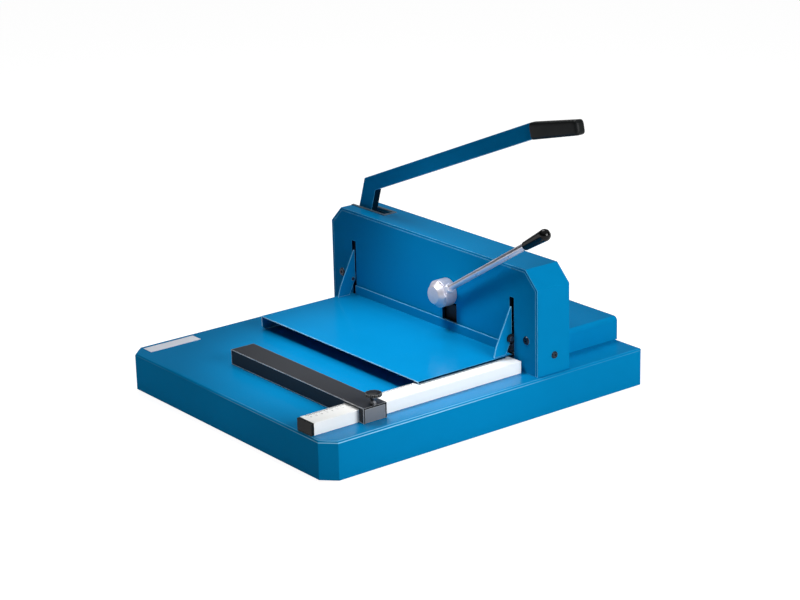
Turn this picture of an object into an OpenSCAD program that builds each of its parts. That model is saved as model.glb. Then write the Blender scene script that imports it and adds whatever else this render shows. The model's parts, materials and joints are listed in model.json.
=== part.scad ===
// Stack cutter: a desk guillotine with a gate, a cutting lever, a clamp lever, a hinged guard and a stop bar.
// X runs along the gate, Y runs from the stop bar to the hood, Z is up and 0 is the surface it stands on.

/* [Base] */
// Width of the base along the gate
base_w = 565; // [560:5:600]
// Depth of the base from the front edge to the rear edge
base_d = 650; // [630:5:700]
// Height of the base tray
base_h = 64; // [56:1:80]
// Cut at the two front corners of the base
base_cut = 22; // [15:1:35]
// Bend radius of the base's edges
base_r = 5; // [4:0.5:8]
// Sheet thickness of the base
sheet = 2.5; // [2:0.25:3]
// Sheet thickness of the floor under the base
floor_t = 1.5; // [1:0.25:2.5]
// Height of the rubber feet
foot_h = 4; // [3:0.5:8]
// Radius of the rubber feet
foot_r = 18; // [12:1:25]

/* [Gate] */
// Distance from the side of the base to the end of the gate
gate_inset = 7.5; // [6:0.5:10]
// Depth of the gate
gate_d = 68; // [68:1:74]
// Height of the gate above the table
gate_h = 175; // [175:1:190]
// Width of the steel column in each end of the gate
column_w = 30; // [28:0.5:33]
// Height of the steel columns
column_h = 74; // [70:1:80]
// Width of the front plate between the throat and the column
jamb_w = 22.5; // [21:0.5:24]
// Corner cut of the gate
gate_cut = 29; // [24:1:33]
// Thickness of the cover strip
strip_t = 5; // [4:0.5:6]
// Thickness of the front and rear plates
plate_t = 5; // [4:0.5:5]
// Height of the throat that the stack goes through
throat_h = 38; // [34:1:40]

/* [Cutting lever] */
// Distance from the gate's left end to the lever's pivot
pivot_in = 43; // [42:1:45]
// Height of the lever's pivot above the table
pivot_h = 118; // [116:1:120]
// Lean of the lever's upright from the vertical at rest
lever_lean = 18; // [15:1:20]
// Rise of the lever's arm from the horizontal at rest
arm_rise = 22; // [20:1:26]
// Width of the lever's upright
upright_w = 34; // [31:1:36]
// Width of the lever's arm
arm_w = 26.5; // [24:0.5:28]
// Thickness of the lever
lever_t = 14; // [12:1:15]
// Room at each side of the lever in the slot on top of the gate
slot_side = 2.5; // [2:0.5:5]
// Reach of that slot from the lever's pivot
slot_reach = 75; // [72:1:80]
// Width of the trim round that slot
trim_w = 5; // [4:0.5:6]
// Distance from the pivot to the outer elbow
elbow_h = 110.5; // [108:0.5:118]
// Length of the arm from the elbow to the grip
arm_len = 477; // [460:1:490]
// Length of the black grip
grip_len = 112; // [100:1:120]
// Rise of the grip from the horizontal at rest
grip_rise = 13; // [12:0.5:20]
// Throw of the crank that drives the blade
crank_r = 46; // [44:0.5:47]
// Fall of the crank below the horizontal at rest
crank_fall = 12; // [10:0.5:14]

/* [Blade] */
// Height of the blade's edge above the table at rest
blade_gap = 16.8; // [16.6:0.1:19]
// Room between each end of the blade and the throat
blade_play = 1.5; // [1:0.5:3]
// Slope of the blade's path from the horizontal
cut_slope = 65; // [63:1:70]
// Thickness of the blade
blade_t = 5; // [4:0.5:5]
// Height of the blade
blade_h = 50; // [46:1:52]

/* [Clamp] */
// Clamp hub along the gate
hub_x = 50.5; // [46:0.5:54]
// Height of the clamp hub above the table
hub_h = 92; // [92:0.5:96]
// Radius of the clamp hub
hub_r = 23.5; // [22:0.5:26]
// Length of the hub's round body
hub_len = 22; // [19:0.5:23]
// Length of the hub's eight-sided nose
nose_len = 10.5; // [9:0.5:13]
// Rise of the clamp lever from the horizontal at rest
rod_rise = 31.3; // [26:0.1:36]
// Distance from the hub's axis to the start of the clamp grip
rod_len = 251; // [235:1:260]
// Length of the clamp grip
knob_len = 63; // [58:1:72]
// Room between each end of the clamp bar and the throat
clamp_play = 13.5; // [13:0.5:18]

/* [Guard] */
// Depth of the guard in front of the gate
guard_d = 197; // [180:1:200]
// Height of the guard's top face above the table
guard_h = 25; // [24.5:0.5:27]
// How far the guard's left edge stands past the throat
guard_over = 1; // [0:0.5:3]
// How far the guard's right edge stays inside the throat
guard_under = 2; // [0.5:0.5:3]
// Sheet thickness of the guard
guard_t = 2; // [1.5:0.25:2.25]

/* [Ruler and stop] */
// How far the ruler's left face stands inside the throat
ruler_in = 14; // [12.5:0.5:15.5]
// Width of the ruler bar
ruler_w = 37; // [34:0.5:38]
// Height of the ruler bar
ruler_h = 20; // [18:0.5:20.5]
// Length of the stop bar
stop_len = 361; // [330:1:390]
// How far the stop bar reaches past the ruler
stop_over = 13.5; // [10.5:0.5:15]
// Distance from the front edge of the base to the stop bar at rest
stop_gap = 92; // [89:1:99]
// Depth of the stop bar
stop_d = 44.5; // [40:0.5:46]
// Height of the stop bar's top above the table
stop_h = 26; // [25.5:0.5:28]
// Radius of the lock knob
knob_r = 13.5; // [11:0.5:14.5]

/* [Hood] */
// How far the hood stands past the throat at each side
hood_over = 4.5; // [3:0.5:18]
// Depth of the hood behind the gate
hood_d = 156; // [146:1:170]
// Height of the hood
hood_h = 40; // [38:1:44]
// Bend radius of the hood's long edges
hood_r = 8; // [5:0.5:10]

/* [Hidden] */
$fn = 64;
eps = 0.01;
// Clearances: a running shaft, a sliding face, a pin in its slot, and faces that pass each other
run_c = 0.05;
slide_c = 0.4;
slot_c = 0.35;
pass_c = 1;
table_z = foot_h + base_h;
gate_w = base_w - 2 * gate_inset;
gate_y = base_d / 2 - hood_d - gate_d;
gate_top = table_z + gate_h;
gate_back = gate_y + gate_d;
cover_in = gate_w / 2 - strip_t;
column_x = cover_in - column_w;
throat_x = column_x - jamb_w;
pivot_x = -gate_w / 2 + pivot_in;
throat_z = table_z + throat_h;
// Depth of the inner layers, from the front plate to the rear plate
front_in = gate_y + plate_t;
rear_in = gate_back - plate_t;
clamp_y0 = front_in + 2;
clamp_y1 = clamp_y0 + 18;
lever_y0 = gate_y + 30;
lever_y1 = lever_y0 + lever_t;
lever_my = (lever_y0 + lever_y1) / 2;
carrier_y1 = rear_in - 2;
carrier_y0 = carrier_y1 - 10;
blade_y0 = carrier_y0 - blade_t;
// Lever geometry in the XZ plane
pivot = [pivot_x, table_z + pivot_h];
lean_u = [sin(lever_lean), cos(lever_lean)];
lean_n = [cos(lever_lean), -sin(lever_lean)];
arm_u = [cos(arm_rise), sin(arm_rise)];
arm_n = [sin(arm_rise), -cos(arm_rise)];
left_foot = pivot - lean_n * (upright_w / 2 + 1.5);
elbow_out = left_foot + lean_u * elbow_h;
arm_low = elbow_out + arm_n * arm_w;
right_foot = pivot + lean_n * (upright_w / 2 - 1.5);
elbow_in = right_foot + lean_u * meet(right_foot, lean_u, arm_low, arm_u);
arm_end = elbow_out + arm_u * arm_len + arm_n * arm_w / 2;
arm_tip = arm_end - arm_u * 3;
crank = pivot + crank_r * [cos(crank_fall), -sin(crank_fall)];
shaft_r = 10;
bush_t = 4;
pin_r = 8;
// The slot's trim: its thickness, and how far it laps over the slot's edge
trim_t = 1.4;
trim_lap = 0.5;
// Lever travel from rest: down is positive, and the blade follows it on its slope
lever_down = 21;
lever_up = 45;
blade_rate = 44.3;
fall_down = blade_rate * lever_down * PI / 180;
rise_up = blade_rate * lever_up * PI / 180;
side_per_fall = 1 / tan(cut_slope);
// The carrier's yoke slot spans the crank pin's run across the carrier
pin_low_x = pivot[0] + crank_r * cos(crank_fall + lever_down) - fall_down * side_per_fall;
pin_high_x = pivot[0] + crank_r * cos(lever_up - crank_fall) + rise_up * side_per_fall;
yoke_c = 0.9;
yoke_dz = 0.26;
blade_z = table_z + blade_gap;
blade_len = 2 * (throat_x - blade_play);
blade_x0 = -blade_len / 2 + 1;
carrier_lift = 10.5;
carrier_h = 92;
carrier_over = 3;
carrier_z0 = blade_z + carrier_lift;
carrier_z1 = carrier_z0 + carrier_h;
yoke_w = 63;
yoke_wall = 12;
roller_r = 7;
roller_pin = 5;
roller_h = 53;
roller_in = [95, 77];
roller_z = carrier_z0 + roller_h;
roller_x = [blade_x0 + roller_in[0], blade_x0 + blade_len - roller_in[1]];
screw_in = [25, 26];
screw_h = 34;
screw_r = 4;
screw_z = blade_z + screw_h;
screw_x = [for (i = [0:3]) blade_x0 + screw_in[0] + i * (blade_len - screw_in[0] - screw_in[1]) / 3];
guide_w = 45;
guide_in = 25;
guide_x = [blade_x0 + 30, blade_x0 + blade_len - 187];
// Clamp gear: pitch radius, module and backlash
gear_m = 2.5;
gear_z = 16;
gear_r = gear_m * gear_z / 2;
gear_p = PI * gear_m;
backlash = 0.14;
hub = [hub_x, table_z + hub_h];
hub_back = gate_y - 0.7;
hub_front = hub_back - hub_len;
rod_y = hub_front + 7;
rack_x = hub_x - gear_r;
notch_x = hub_x + 1.5;
nose_r = 14.57;
clamp_z0 = throat_z;
clamp_z1 = throat_z + 29;
clamp_drop = throat_h - 1;
clamp_x = throat_x - clamp_play;
rod_post_in = 54;
rod_post_x = clamp_x - rod_post_in;
rod_post_r = 6;
rod_post_y = (clamp_y0 + clamp_y1) / 2;
// Guard hinge and wings
hinge_y = gate_y - 5;
hinge_z = table_z + 52.5;
slot_w = 11;
slot_x0 = throat_x - slot_w;
wing_x = slot_x0 + 3.5;
lug_x = wing_x + guard_t + 1;
guard_left = -throat_x - guard_over;
guard_right = throat_x - guard_under;
guard_z = table_z + guard_h;
guard_y1 = gate_y - 2;
guard_y0 = guard_y1 - guard_d + 2;
bolt_r = 5;
bolt_grip = 20;
bolt_in = 17;
screw_at = [column_x + column_w / 4, table_z + column_h - 18];
end_at = [gate_y + 36, table_z + 30.6];
bolt_x = column_x + 16;
bolt_y = [gate_y + bolt_in, gate_back - bolt_in];
stick_w = 10;
stick_x = throat_x + 6.5;
stick_y = blade_y0 - 4;
beam_t = 18;
ruler_y0 = -base_d / 2 + 8.5;
ruler_y1 = gate_y - 5;
ruler_top = table_z + ruler_h;
ruler_x = throat_x - ruler_in;
ruler_right = ruler_x + ruler_w;
stop_wall = 3;
stop_z0 = table_z + 0.6;
stop_z1 = table_z + stop_h;
stop_y = -base_d / 2 + stop_gap;
stop_y1 = stop_y + stop_d;
stop_right = ruler_right + stop_over;
stop_left = stop_right - stop_len;
knob_in = 6.1;
knob_back = 2;
knob_x = stop_right - knob_in;
knob_y = stop_y + stop_d / 2 + knob_back;
hood_t = 2;
ruler_screw_y = [ruler_y0 + 35, (ruler_y0 + ruler_y1) / 2, ruler_y1 - 30];
hood_x = throat_x + hood_over;
hood_screw_in = 42;
hood_screw_up = 8;
hood_screw_r = 2.5;
hood_screw_x = [for (i = [0:3]) (hood_x - hood_screw_in) * (2 * i / 3 - 1)];
hood_screw_z = table_z + hood_h + hood_screw_up;
paint = [0.03, 0.42, 0.70];
black = [0.07, 0.07, 0.08];
steel = [0.62, 0.64, 0.66];

// Distance along u from a to the line that runs through b along v
function meet(a, u, b, v) = ((b[0] - a[0]) * v[1] - (b[1] - a[1]) * v[0]) / (u[0] * v[1] - u[1] * v[0]);
// Corners of the base's outline, drawn in by i, with the front corners cut
function base_points(i) =
  let (w = base_w / 2 - i, d = base_d / 2 - i, c = base_cut - i * (2 - sqrt(2)))
  [[-w + c, -d], [w - c, -d], [w, -d + c], [w, d], [-w, d], [-w, -d + c]];
// Corners of the gate's outline, drawn in by i, with the two top corners cut
function gate_points(i) =
  let (w = gate_w / 2 - i, t = gate_top - i, c = gate_cut - i * (2 - sqrt(2)))
  [[-w, table_z], [-w, t - c], [-w + c, t], [w - c, t], [w, t - c], [w, table_z]];
// Half angle of a pinion tooth at radius r, from the involute of its base circle
function involute(r) = let (b = gear_r * cos(20), a = acos(min(1, b / r))) tan(a) * 180 / PI - a;
function tooth_half(r) =
  let (b = gear_r * cos(20))
  90 / gear_z - backlash / gear_r * 180 / PI + involute(gear_r) - involute(max(r, b));
function polar(r, a) = [r * cos(a), r * sin(a)];

// Profile in the XZ plane, drawn from y0 to y1
module slab(y0, y1) {
  translate([0, y1, 0]) rotate([90, 0, 0]) linear_extrude(height = y1 - y0) children();
}

// Profile in the YZ plane, drawn from x0 to x1
module rail(x0, x1) {
  translate([x0, 0, 0]) rotate([90, 0, 90]) linear_extrude(height = x1 - x0) children();
}

// Box between two corners
module block(a, b) {
  translate(a) cube(b - a);
}

module bar_x(y, z, r, x0, x1) {
  translate([x0, y, z]) rotate([0, 90, 0]) cylinder(h = x1 - x0, r = r);
}

module bar_y(x, z, r, y0, y1) {
  translate([x, y0, z]) rotate([-90, 0, 0]) cylinder(h = y1 - y0, r = r);
}

module bar_z(x, y, r, z0, z1) {
  translate([x, y, z0]) cylinder(h = z1 - z0, r = r);
}

module both_sides() {
  children();
  mirror([1, 0, 0]) children();
}

// Strip of width w from a to b in the plane of a profile
module strip(a, b, w) {
  d = b - a;
  translate(a) rotate(atan2(d[1], d[0])) translate([0, -w / 2]) square([norm(d), w]);
}

// Button head with a hex socket, pointing along +Z from its seat
module button_head(r, h) {
  difference() {
    cylinder(h = h, r1 = r, r2 = r * 0.8);
    translate([0, 0, h * 0.3]) cylinder(h = h, r = r * 0.45, $fn = 6);
  }
}

// Plan of the base: cut front corners, round rear corners
module base_plan() {
  p = base_points(0);
  r = base_r;
  polygon([p[0], p[1], p[2], p[3] - [0, r], p[3] - [r, 0], p[4] + [r, 0], p[4] - [0, r], p[5]]);
  for (s = [-1, 1]) translate([s * (base_w / 2 - r), base_d / 2 - r]) circle(r = r);
}

// Section of the base from a to b with a round at each top corner
module base_section(a, b) {
  r = base_r;
  translate([a, foot_h]) square([b - a, base_h - r]);
  translate([a + r, foot_h]) square([b - a - 2 * r, base_h]);
  for (x = [a + r, b - r]) translate([x, table_z - r]) circle(r = r);
}

// Solid of the base with a round along every top edge
module base_solid() {
  w = base_w / 2;
  d = base_d / 2;
  n = (w + d - base_cut) / sqrt(2);
  intersection() {
    translate([0, 0, foot_h]) linear_extrude(height = base_h) base_plan();
    slab(-d - 10, d + 10) base_section(-w, w);
    rail(-w - 10, w + 10) base_section(-d, d);
    rotate([0, 0, 45]) rail(-w - d, w + d) base_section(-n, w + d);
    rotate([0, 0, -45]) rail(-w - d, w + d) base_section(-n, w + d);
  }
}

module base_tray() {
  color(paint) difference() {
    base_solid();
    translate([0, 0, foot_h - 1]) linear_extrude(height = base_h - sheet + 1) polygon(base_points(sheet));
    block(
      [-stick_x - slide_c, stick_y - slide_c, table_z - sheet - 1],
      [stick_x + slide_c, stick_y + stick_w + slide_c, table_z + 1]
    );
    both_sides() for (y = bolt_y) bar_z(bolt_x, y, bolt_r, table_z - sheet - 1, table_z + 1);
    for (y = ruler_screw_y) bar_z(ruler_x + ruler_w / 2, y, 2.5, table_z - sheet - 1, table_z + 1);
  }
}

module base_floor() {
  color([0.35, 0.36, 0.38]) translate([0, 0, foot_h]) linear_extrude(height = floor_t)
    polygon(base_points(sheet));
}

module feet() {
  color(black) for (p = [[0, 0], [-1, -1], [1, -1], [1, 1], [-1, 1]])
    translate([p[0] * (base_w / 2 - 50), p[1] * (base_d / 2 - 45), 0]) cylinder(h = foot_h, r = foot_r);
}

module bed_beam() {
  z1 = table_z - sheet;
  color(steel) difference() {
    block([-gate_w / 2 + 4, gate_y - 1, z1 - beam_t], [gate_w / 2 - 4, gate_back + 1, z1]);
    block([-stick_x, stick_y, table_z - stick_w], [stick_x, stick_y + stick_w, z1 + 1]);
    both_sides() for (y = bolt_y) bar_z(bolt_x, y, bolt_r, z1 - beam_t - 1, z1 + 1);
  }
}

module cutting_stick() {
  color([0.9, 0.9, 0.86])
    block([-stick_x, stick_y, table_z - stick_w], [stick_x, stick_y + stick_w, table_z]);
}

module gate_bolts() {
  z0 = table_z - sheet - beam_t;
  color(steel) both_sides() for (y = bolt_y) {
    bar_z(bolt_x, y, bolt_r, z0, table_z + bolt_grip);
    translate([bolt_x, y, z0 - 7]) cylinder(h = 7, r = 9, $fn = 6);
  }
}

module blank_plate() {
  x0 = -base_w / 2 + 12;
  y0 = -base_d / 2 + 23;
  color([0.75, 0.77, 0.78]) block([x0, y0, table_z], [x0 + 24.5, y0 + 99, table_z + 0.6]);
}

// Slots that the guard's wings swing into
module wing_slots(y0, y1) {
  both_sides() block([slot_x0, y0, table_z - 1], [throat_x, y1, table_z + 121]);
}

module throat_cut(y0, y1) {
  block([-throat_x, y0, table_z - 1], [throat_x, y1, throat_z]);
}

module screw_holes(y0, y1) {
  both_sides() bar_y(screw_at[0], screw_at[1], bolt_r, y0, y1);
}

module gate_front_plate() {
  y0 = gate_y - 1;
  y1 = front_in + 1;
  color(paint) difference() {
    slab(gate_y, front_in) polygon(gate_points(strip_t + 0.5));
    throat_cut(y0, y1);
    wing_slots(y0, y1);
    block([notch_x - 19, y0, table_z], [notch_x + 19, y1, throat_z + 36]);
    bar_y(hub[0], hub[1], shaft_r + bush_t, y0, y1);
    screw_holes(y0, y1);
  }
}

module gate_rear_plate() {
  y0 = rear_in - 1;
  y1 = gate_back + 1;
  color(paint) difference() {
    slab(rear_in, gate_back) polygon(gate_points(strip_t + 0.5));
    throat_cut(y0, y1);
    screw_holes(y0, y1);
    for (x = roller_x) bar_y(x, roller_z, roller_pin, y0, y1);
    for (x = hood_screw_x) bar_y(x, hood_screw_z, hood_screw_r, y0, y1);
  }
}

// Slot for the lever, drawn out by i: open through the left corner cut, square at its right end
module lever_slot(i, z0, z1) {
  r = lever_t / 2 + slot_side + i;
  block([-gate_w / 2 - 10, lever_my - r, z0], [pivot_x + slot_reach + i, lever_my + r, z1]);
}

module gate_cover() {
  color(paint) difference() {
    slab(gate_y, gate_back) difference() {
      polygon(gate_points(0));
      polygon(gate_points(strip_t));
      translate([-cover_in, table_z - 1]) square([2 * cover_in, 2]);
    }
    lever_slot(0, gate_top - gate_cut - 6, gate_top + 10);
    both_sides() bar_x(end_at[0], end_at[1], bolt_r, cover_in - 1, gate_w / 2 + 1);
  }
}

module gate_columns() {
  color(steel) both_sides() difference() {
    block([column_x, front_in, table_z], [cover_in, rear_in, table_z + column_h]);
    bar_y(screw_at[0], screw_at[1], bolt_r, front_in - 1, front_in + bolt_grip - 1);
    bar_y(screw_at[0], screw_at[1], bolt_r, rear_in - bolt_grip + 1, rear_in + 1);
    bar_x(end_at[0], end_at[1], bolt_r, column_x + 8, cover_in + 1);
    for (y = bolt_y) bar_z(bolt_x, y, bolt_r, table_z - 1, table_z + bolt_grip);
  }
}

module plate_screws() {
  color([0.25, 0.26, 0.28]) both_sides() {
    bar_y(screw_at[0], screw_at[1], bolt_r, gate_y, front_in + bolt_grip - 1);
    translate([screw_at[0], gate_y, screw_at[1]]) rotate([90, 0, 0]) button_head(7.5, 2.2);
    bar_y(screw_at[0], screw_at[1], bolt_r, rear_in - bolt_grip + 1, gate_back);
    translate([screw_at[0], gate_back, screw_at[1]]) rotate([-90, 0, 0]) button_head(7.5, 2.2);
  }
}

module end_bolts() {
  color([0.25, 0.26, 0.28]) both_sides() {
    bar_x(end_at[0], end_at[1], bolt_r, column_x + 8, gate_w / 2);
    translate([gate_w / 2, end_at[0], end_at[1]]) rotate([0, 90, 0]) button_head(6.5, 2);
  }
}

module slot_trim() {
  color([0.30, 0.27, 0.26]) difference() {
    intersection() {
      lever_slot(trim_w, gate_top, gate_top + trim_t);
      block([-gate_w / 2 + gate_cut, gate_y, gate_top - 1], [0, gate_back, gate_top + 3]);
    }
    lever_slot(-trim_lap, gate_top - 1, gate_top + trim_t + 1);
  }
}

module pivot_block() {
  color(steel) difference() {
    block([pivot_x - 34, front_in, pivot[1] - 26], [pivot_x + 16, lever_y0 - pass_c, pivot[1] + 28]);
    bar_y(pivot[0], pivot[1], shaft_r, front_in - 1, lever_y0);
  }
}

module lever_shaft() {
  color([0.75, 0.76, 0.78]) bar_y(pivot[0], pivot[1], shaft_r, front_in, lever_y1 + 5);
}

module shaft_ring() {
  color(steel) difference() {
    bar_y(pivot[0], pivot[1], shaft_r + 6, lever_y1 + pass_c, lever_y1 + 5);
    bar_y(pivot[0], pivot[1], shaft_r, lever_y1, lever_y1 + 6);
  }
}

// Tang of the lever inside the grip, in the XZ plane
module tang_shape() {
  translate(arm_end) rotate(grip_rise) translate([-6, -8]) square([grip_len - 12, 16]);
}

module lever_shape() {
  polygon([left_foot, elbow_out, arm_tip - arm_n * arm_w / 2, arm_tip + arm_n * arm_w / 2,
    elbow_in, right_foot]);
  translate(pivot) circle(r = 22);
  strip(pivot, crank, 20);
  translate(crank) circle(r = 13);
}

module lever_bar() {
  color(paint) difference() {
    union() {
      slab(lever_y0, lever_y1) lever_shape();
      slab(lever_my - 4, lever_my + 4) tang_shape();
    }
    bar_y(pivot[0], pivot[1], shaft_r + bush_t, lever_y0 - 1, lever_y1 + 1);
    bar_y(crank[0], crank[1], pin_r, lever_y0 - 1, lever_y1 + 1);
  }
}

module lever_bush() {
  color([0.72, 0.55, 0.25]) difference() {
    bar_y(pivot[0], pivot[1], shaft_r + bush_t, lever_y0, lever_y1);
    bar_y(pivot[0], pivot[1], shaft_r + run_c, lever_y0 - 1, lever_y1 + 1);
  }
}

// Rectangle with round corners, centred on the origin
module round_box(w, h, r) {
  square([w - 2 * r, h], center = true);
  square([w, h - 2 * r], center = true);
  for (x = [-1, 1], y = [-1, 1]) translate([x * (w / 2 - r), y * (h / 2 - r)]) circle(r = r);
}

// Side of the grip: it narrows toward its end, where both corners are cut
module grip_side() {
  e = grip_len - 5.5;
  polygon([[-5.5, -15.3], [e - 4, -13.3], [e, -9.3], [e, 7.1], [e - 4, 11.1], [-5.5, 12.9]]);
}

module lever_grip() {
  color(black) difference() {
    translate([arm_end[0], lever_my, arm_end[1]]) rotate([0, -grip_rise, 0]) intersection() {
      rotate([90, 0, 90]) translate([0, -1.2, -6]) linear_extrude(height = grip_len + 2)
        round_box(lever_t + 6, 28.2, 6);
      translate([0, 20, 0]) rotate([90, 0, 0]) linear_extrude(height = 40) grip_side();
    }
    slab(lever_y0, lever_y1) lever_shape();
    slab(lever_my - 4, lever_my + 4) tang_shape();
  }
}

module crank_pin() {
  color(steel) bar_y(crank[0], crank[1], pin_r, lever_y0, carrier_y1);
}

// Slot of half width h along a to b
module stadium(a, b, h) {
  strip(a, b, 2 * h);
  translate(a) circle(r = h);
  translate(b) circle(r = h);
}

module carrier_shape() {
  difference() {
    union() {
      translate([blade_x0 - carrier_over, carrier_z0]) square([blade_len + 2 * carrier_over, carrier_h]);
      translate([blade_x0 - carrier_over, carrier_z1 - 1])
        square([yoke_w, crank[1] + pin_r + yoke_wall - carrier_z1]);
    }
    stadium([pin_low_x, crank[1] + yoke_dz], [pin_high_x, crank[1] + yoke_dz], pin_r + yoke_c);
    for (x = roller_x)
      stadium(
        [x, roller_z] + (fall_down + 1) * [-side_per_fall, 1],
        [x, roller_z] + (rise_up + 1) * [side_per_fall, -1],
        roller_r + slot_c
      );
  }
}

module blade_carrier() {
  color(steel) difference() {
    slab(carrier_y0, carrier_y1) carrier_shape();
    for (x = screw_x) bar_y(x, screw_z, screw_r, carrier_y0 - 1, carrier_y1 + 1);
  }
}

module blade() {
  y1 = carrier_y0;
  color([0.8, 0.82, 0.84]) difference() {
    rail(blade_x0, blade_x0 + blade_len)
      polygon([[blade_y0, blade_z], [y1, blade_z + 9], [y1, blade_z + blade_h],
        [blade_y0, blade_z + blade_h]]);
    for (x = screw_x) bar_y(x, screw_z, screw_r, blade_y0 - 1, y1 + 1);
  }
}

module blade_screws() {
  color([0.25, 0.26, 0.28]) for (x = screw_x) {
    bar_y(x, screw_z, screw_r, blade_y0, carrier_y1);
    translate([x, blade_y0, screw_z]) rotate([90, 0, 0]) button_head(screw_r + 2.5, 3);
  }
}

module carrier_rollers() {
  color([0.75, 0.76, 0.78]) for (x = roller_x) {
    bar_y(x, roller_z, roller_r, carrier_y0 + 0.5, rear_in);
    bar_y(x, roller_z, roller_pin, rear_in - eps, gate_back);
  }
}

module guide_strips() {
  color([0.72, 0.55, 0.25]) for (x = guide_x)
    block([x, carrier_y1 + slide_c, carrier_z0 + guide_in], [x + guide_w, rear_in, carrier_z1 - guide_in]);
}

module clamp_bar() {
  color([0.55, 0.57, 0.6]) difference() {
    block([-clamp_x, clamp_y0, clamp_z0 + 2], [clamp_x, clamp_y1, clamp_z1]);
    both_sides() bar_z(rod_post_x, rod_post_y, rod_post_r, clamp_z0 + 8, clamp_z1 + 1);
  }
}

module clamp_pad() {
  color([0.2, 0.2, 0.21]) block([-clamp_x, clamp_y0, clamp_z0], [clamp_x, clamp_y1, clamp_z0 + 2]);
}

// Rack teeth stand to the right of the pitch line, with a gap facing the pinion's axis
module clamp_rack() {
  a = gear_m * tan(20);
  h = gear_p / 4 - backlash;
  root = rack_x - 1.25 * gear_m;
  color(steel) slab(clamp_y0 + 2, clamp_y1 - 4) union() {
    translate([root - 17, clamp_z1]) square([17, hub[1] + clamp_drop + 20 - clamp_z1]);
    for (k = [-2:5]) translate([rack_x, hub[1] + (k + 0.5) * gear_p])
      polygon([[-1.25 * gear_m - eps, -h - 1.25 * a], [gear_m, -h + a], [gear_m, h - a],
        [-1.25 * gear_m - eps, h + 1.25 * a]]);
  }
}

module clamp_rods() {
  color([0.78, 0.79, 0.8]) both_sides()
    bar_z(rod_post_x, rod_post_y, rod_post_r, clamp_z0 + 8, gate_top - 12);
}

module rod_guides() {
  color([0.72, 0.55, 0.25]) both_sides() difference() {
    block([rod_post_x - 13, front_in, gate_top - 76], [rod_post_x + 13, clamp_y1 + 2, gate_top - 52]);
    bar_z(rod_post_x, rod_post_y, rod_post_r + run_c, gate_top - 77, gate_top - 51);
  }
}

module clamp_bush() {
  color([0.72, 0.55, 0.25]) difference() {
    union() {
      bar_y(hub[0], hub[1], shaft_r + bush_t, gate_y, front_in + 3.4);
      bar_y(hub[0], hub[1], shaft_r + bush_t + 4, front_in, front_in + 3.4);
    }
    bar_y(hub[0], hub[1], shaft_r + run_c, gate_y - 1, front_in + 5);
  }
}

module clamp_shaft() {
  color([0.75, 0.76, 0.78]) bar_y(hub[0], hub[1], shaft_r, hub_front + 2, clamp_y1 - 2);
}

module clamp_pinion() {
  root = gear_r - 1.25 * gear_m;
  tip = gear_r + gear_m;
  base = gear_r * cos(20);
  radii = concat([root], [for (i = [0:4]) base + (tip - base) * i / 4]);
  n = len(radii);
  color(steel) difference() {
    slab(clamp_y0 + 2, clamp_y1 - 4) translate(hub) polygon([
      for (k = [0:gear_z - 1], j = [0:2 * n - 1])
        let (r = radii[j < n ? j : 2 * n - 1 - j], s = j < n ? -1 : 1)
        polar(r, k * 360 / gear_z + s * tooth_half(r))
    ]);
    bar_y(hub[0], hub[1], shaft_r, clamp_y0, clamp_y1);
  }
}

// Things along the clamp lever's rod: local +Z runs out from the hub's axis
module on_rod() {
  translate([hub[0], rod_y, hub[1]]) rotate([0, 90 - rod_rise, 0]) children();
}

// Nose of the hub: a cone whose side is cut to eight flats
module hub_nose() {
  intersection() {
    translate([hub[0], hub_front, hub[1]]) rotate([90, 0, 0])
      cylinder(h = nose_len, r1 = hub_r, r2 = nose_r);
    translate([hub[0], hub_front + 1, hub[1]]) rotate([90, 22.5, 0])
      cylinder(h = nose_len + 2, r = hub_r * 0.95, $fn = 8);
  }
}

module clamp_hub() {
  color([0.78, 0.79, 0.8]) difference() {
    union() {
      bar_y(hub[0], hub[1], hub_r, hub_front, hub_back);
      hub_nose();
    }
    bar_y(hub[0], hub[1], shaft_r, hub_front + 2, hub_back + 1);
    on_rod() cylinder(h = hub_r + 2, r = 4);
  }
}

module rod_nut() {
  color([0.8, 0.81, 0.82]) difference() {
    on_rod() cylinder(h = hub_r + 7, r = 8.5, $fn = 6);
    bar_y(hub[0], hub[1], hub_r, hub_front - 2, hub_back + 2);
    on_rod() cylinder(h = hub_r + 9, r = 4);
  }
}

module clamp_rod() {
  z0 = shaft_r + 2;
  color([0.85, 0.86, 0.88]) on_rod() union() {
    translate([0, 0, z0]) cylinder(h = hub_r + 8 - z0, r = 4);
    translate([0, 0, hub_r + 8 - eps]) cylinder(h = rod_len - hub_r - 8, r1 = 5.3, r2 = 5.6);
    translate([0, 0, rod_len - eps * 2]) cylinder(h = 40, r = 4);
  }
}

module clamp_grip() {
  r1 = 6.8;
  r2 = 9.8;
  zc = knob_len - r2;
  color(black) on_rod() difference() {
    translate([0, 0, rod_len]) rotate_extrude() union() {
      polygon([[0, 0], [r1 - 1, 0], [r1, 1.5], [r2, zc], [0, zc]]);
      intersection() {
        translate([0, zc]) circle(r = r2);
        square([r2 + 1, knob_len + 1]);
      }
    }
    translate([0, 0, rod_len - 1]) cylinder(h = 41 - 2 * eps, r = 4);
  }
}

module guard_plate() {
  z0 = guard_z - guard_t;
  color(paint) union() {
    block([guard_left, guard_y0, z0], [guard_right, guard_y1, guard_z]);
    block([-slot_x0 + 1, guard_y1 - guard_t, z0], [slot_x0 - 1, guard_y1, guard_z + 16.5]);
    block([guard_right - guard_t, guard_y0, guard_z - 3.7], [guard_right, guard_y1 - 14, guard_z]);
    rail(guard_left, guard_left + guard_t) side_flange();
  }
}

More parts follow.
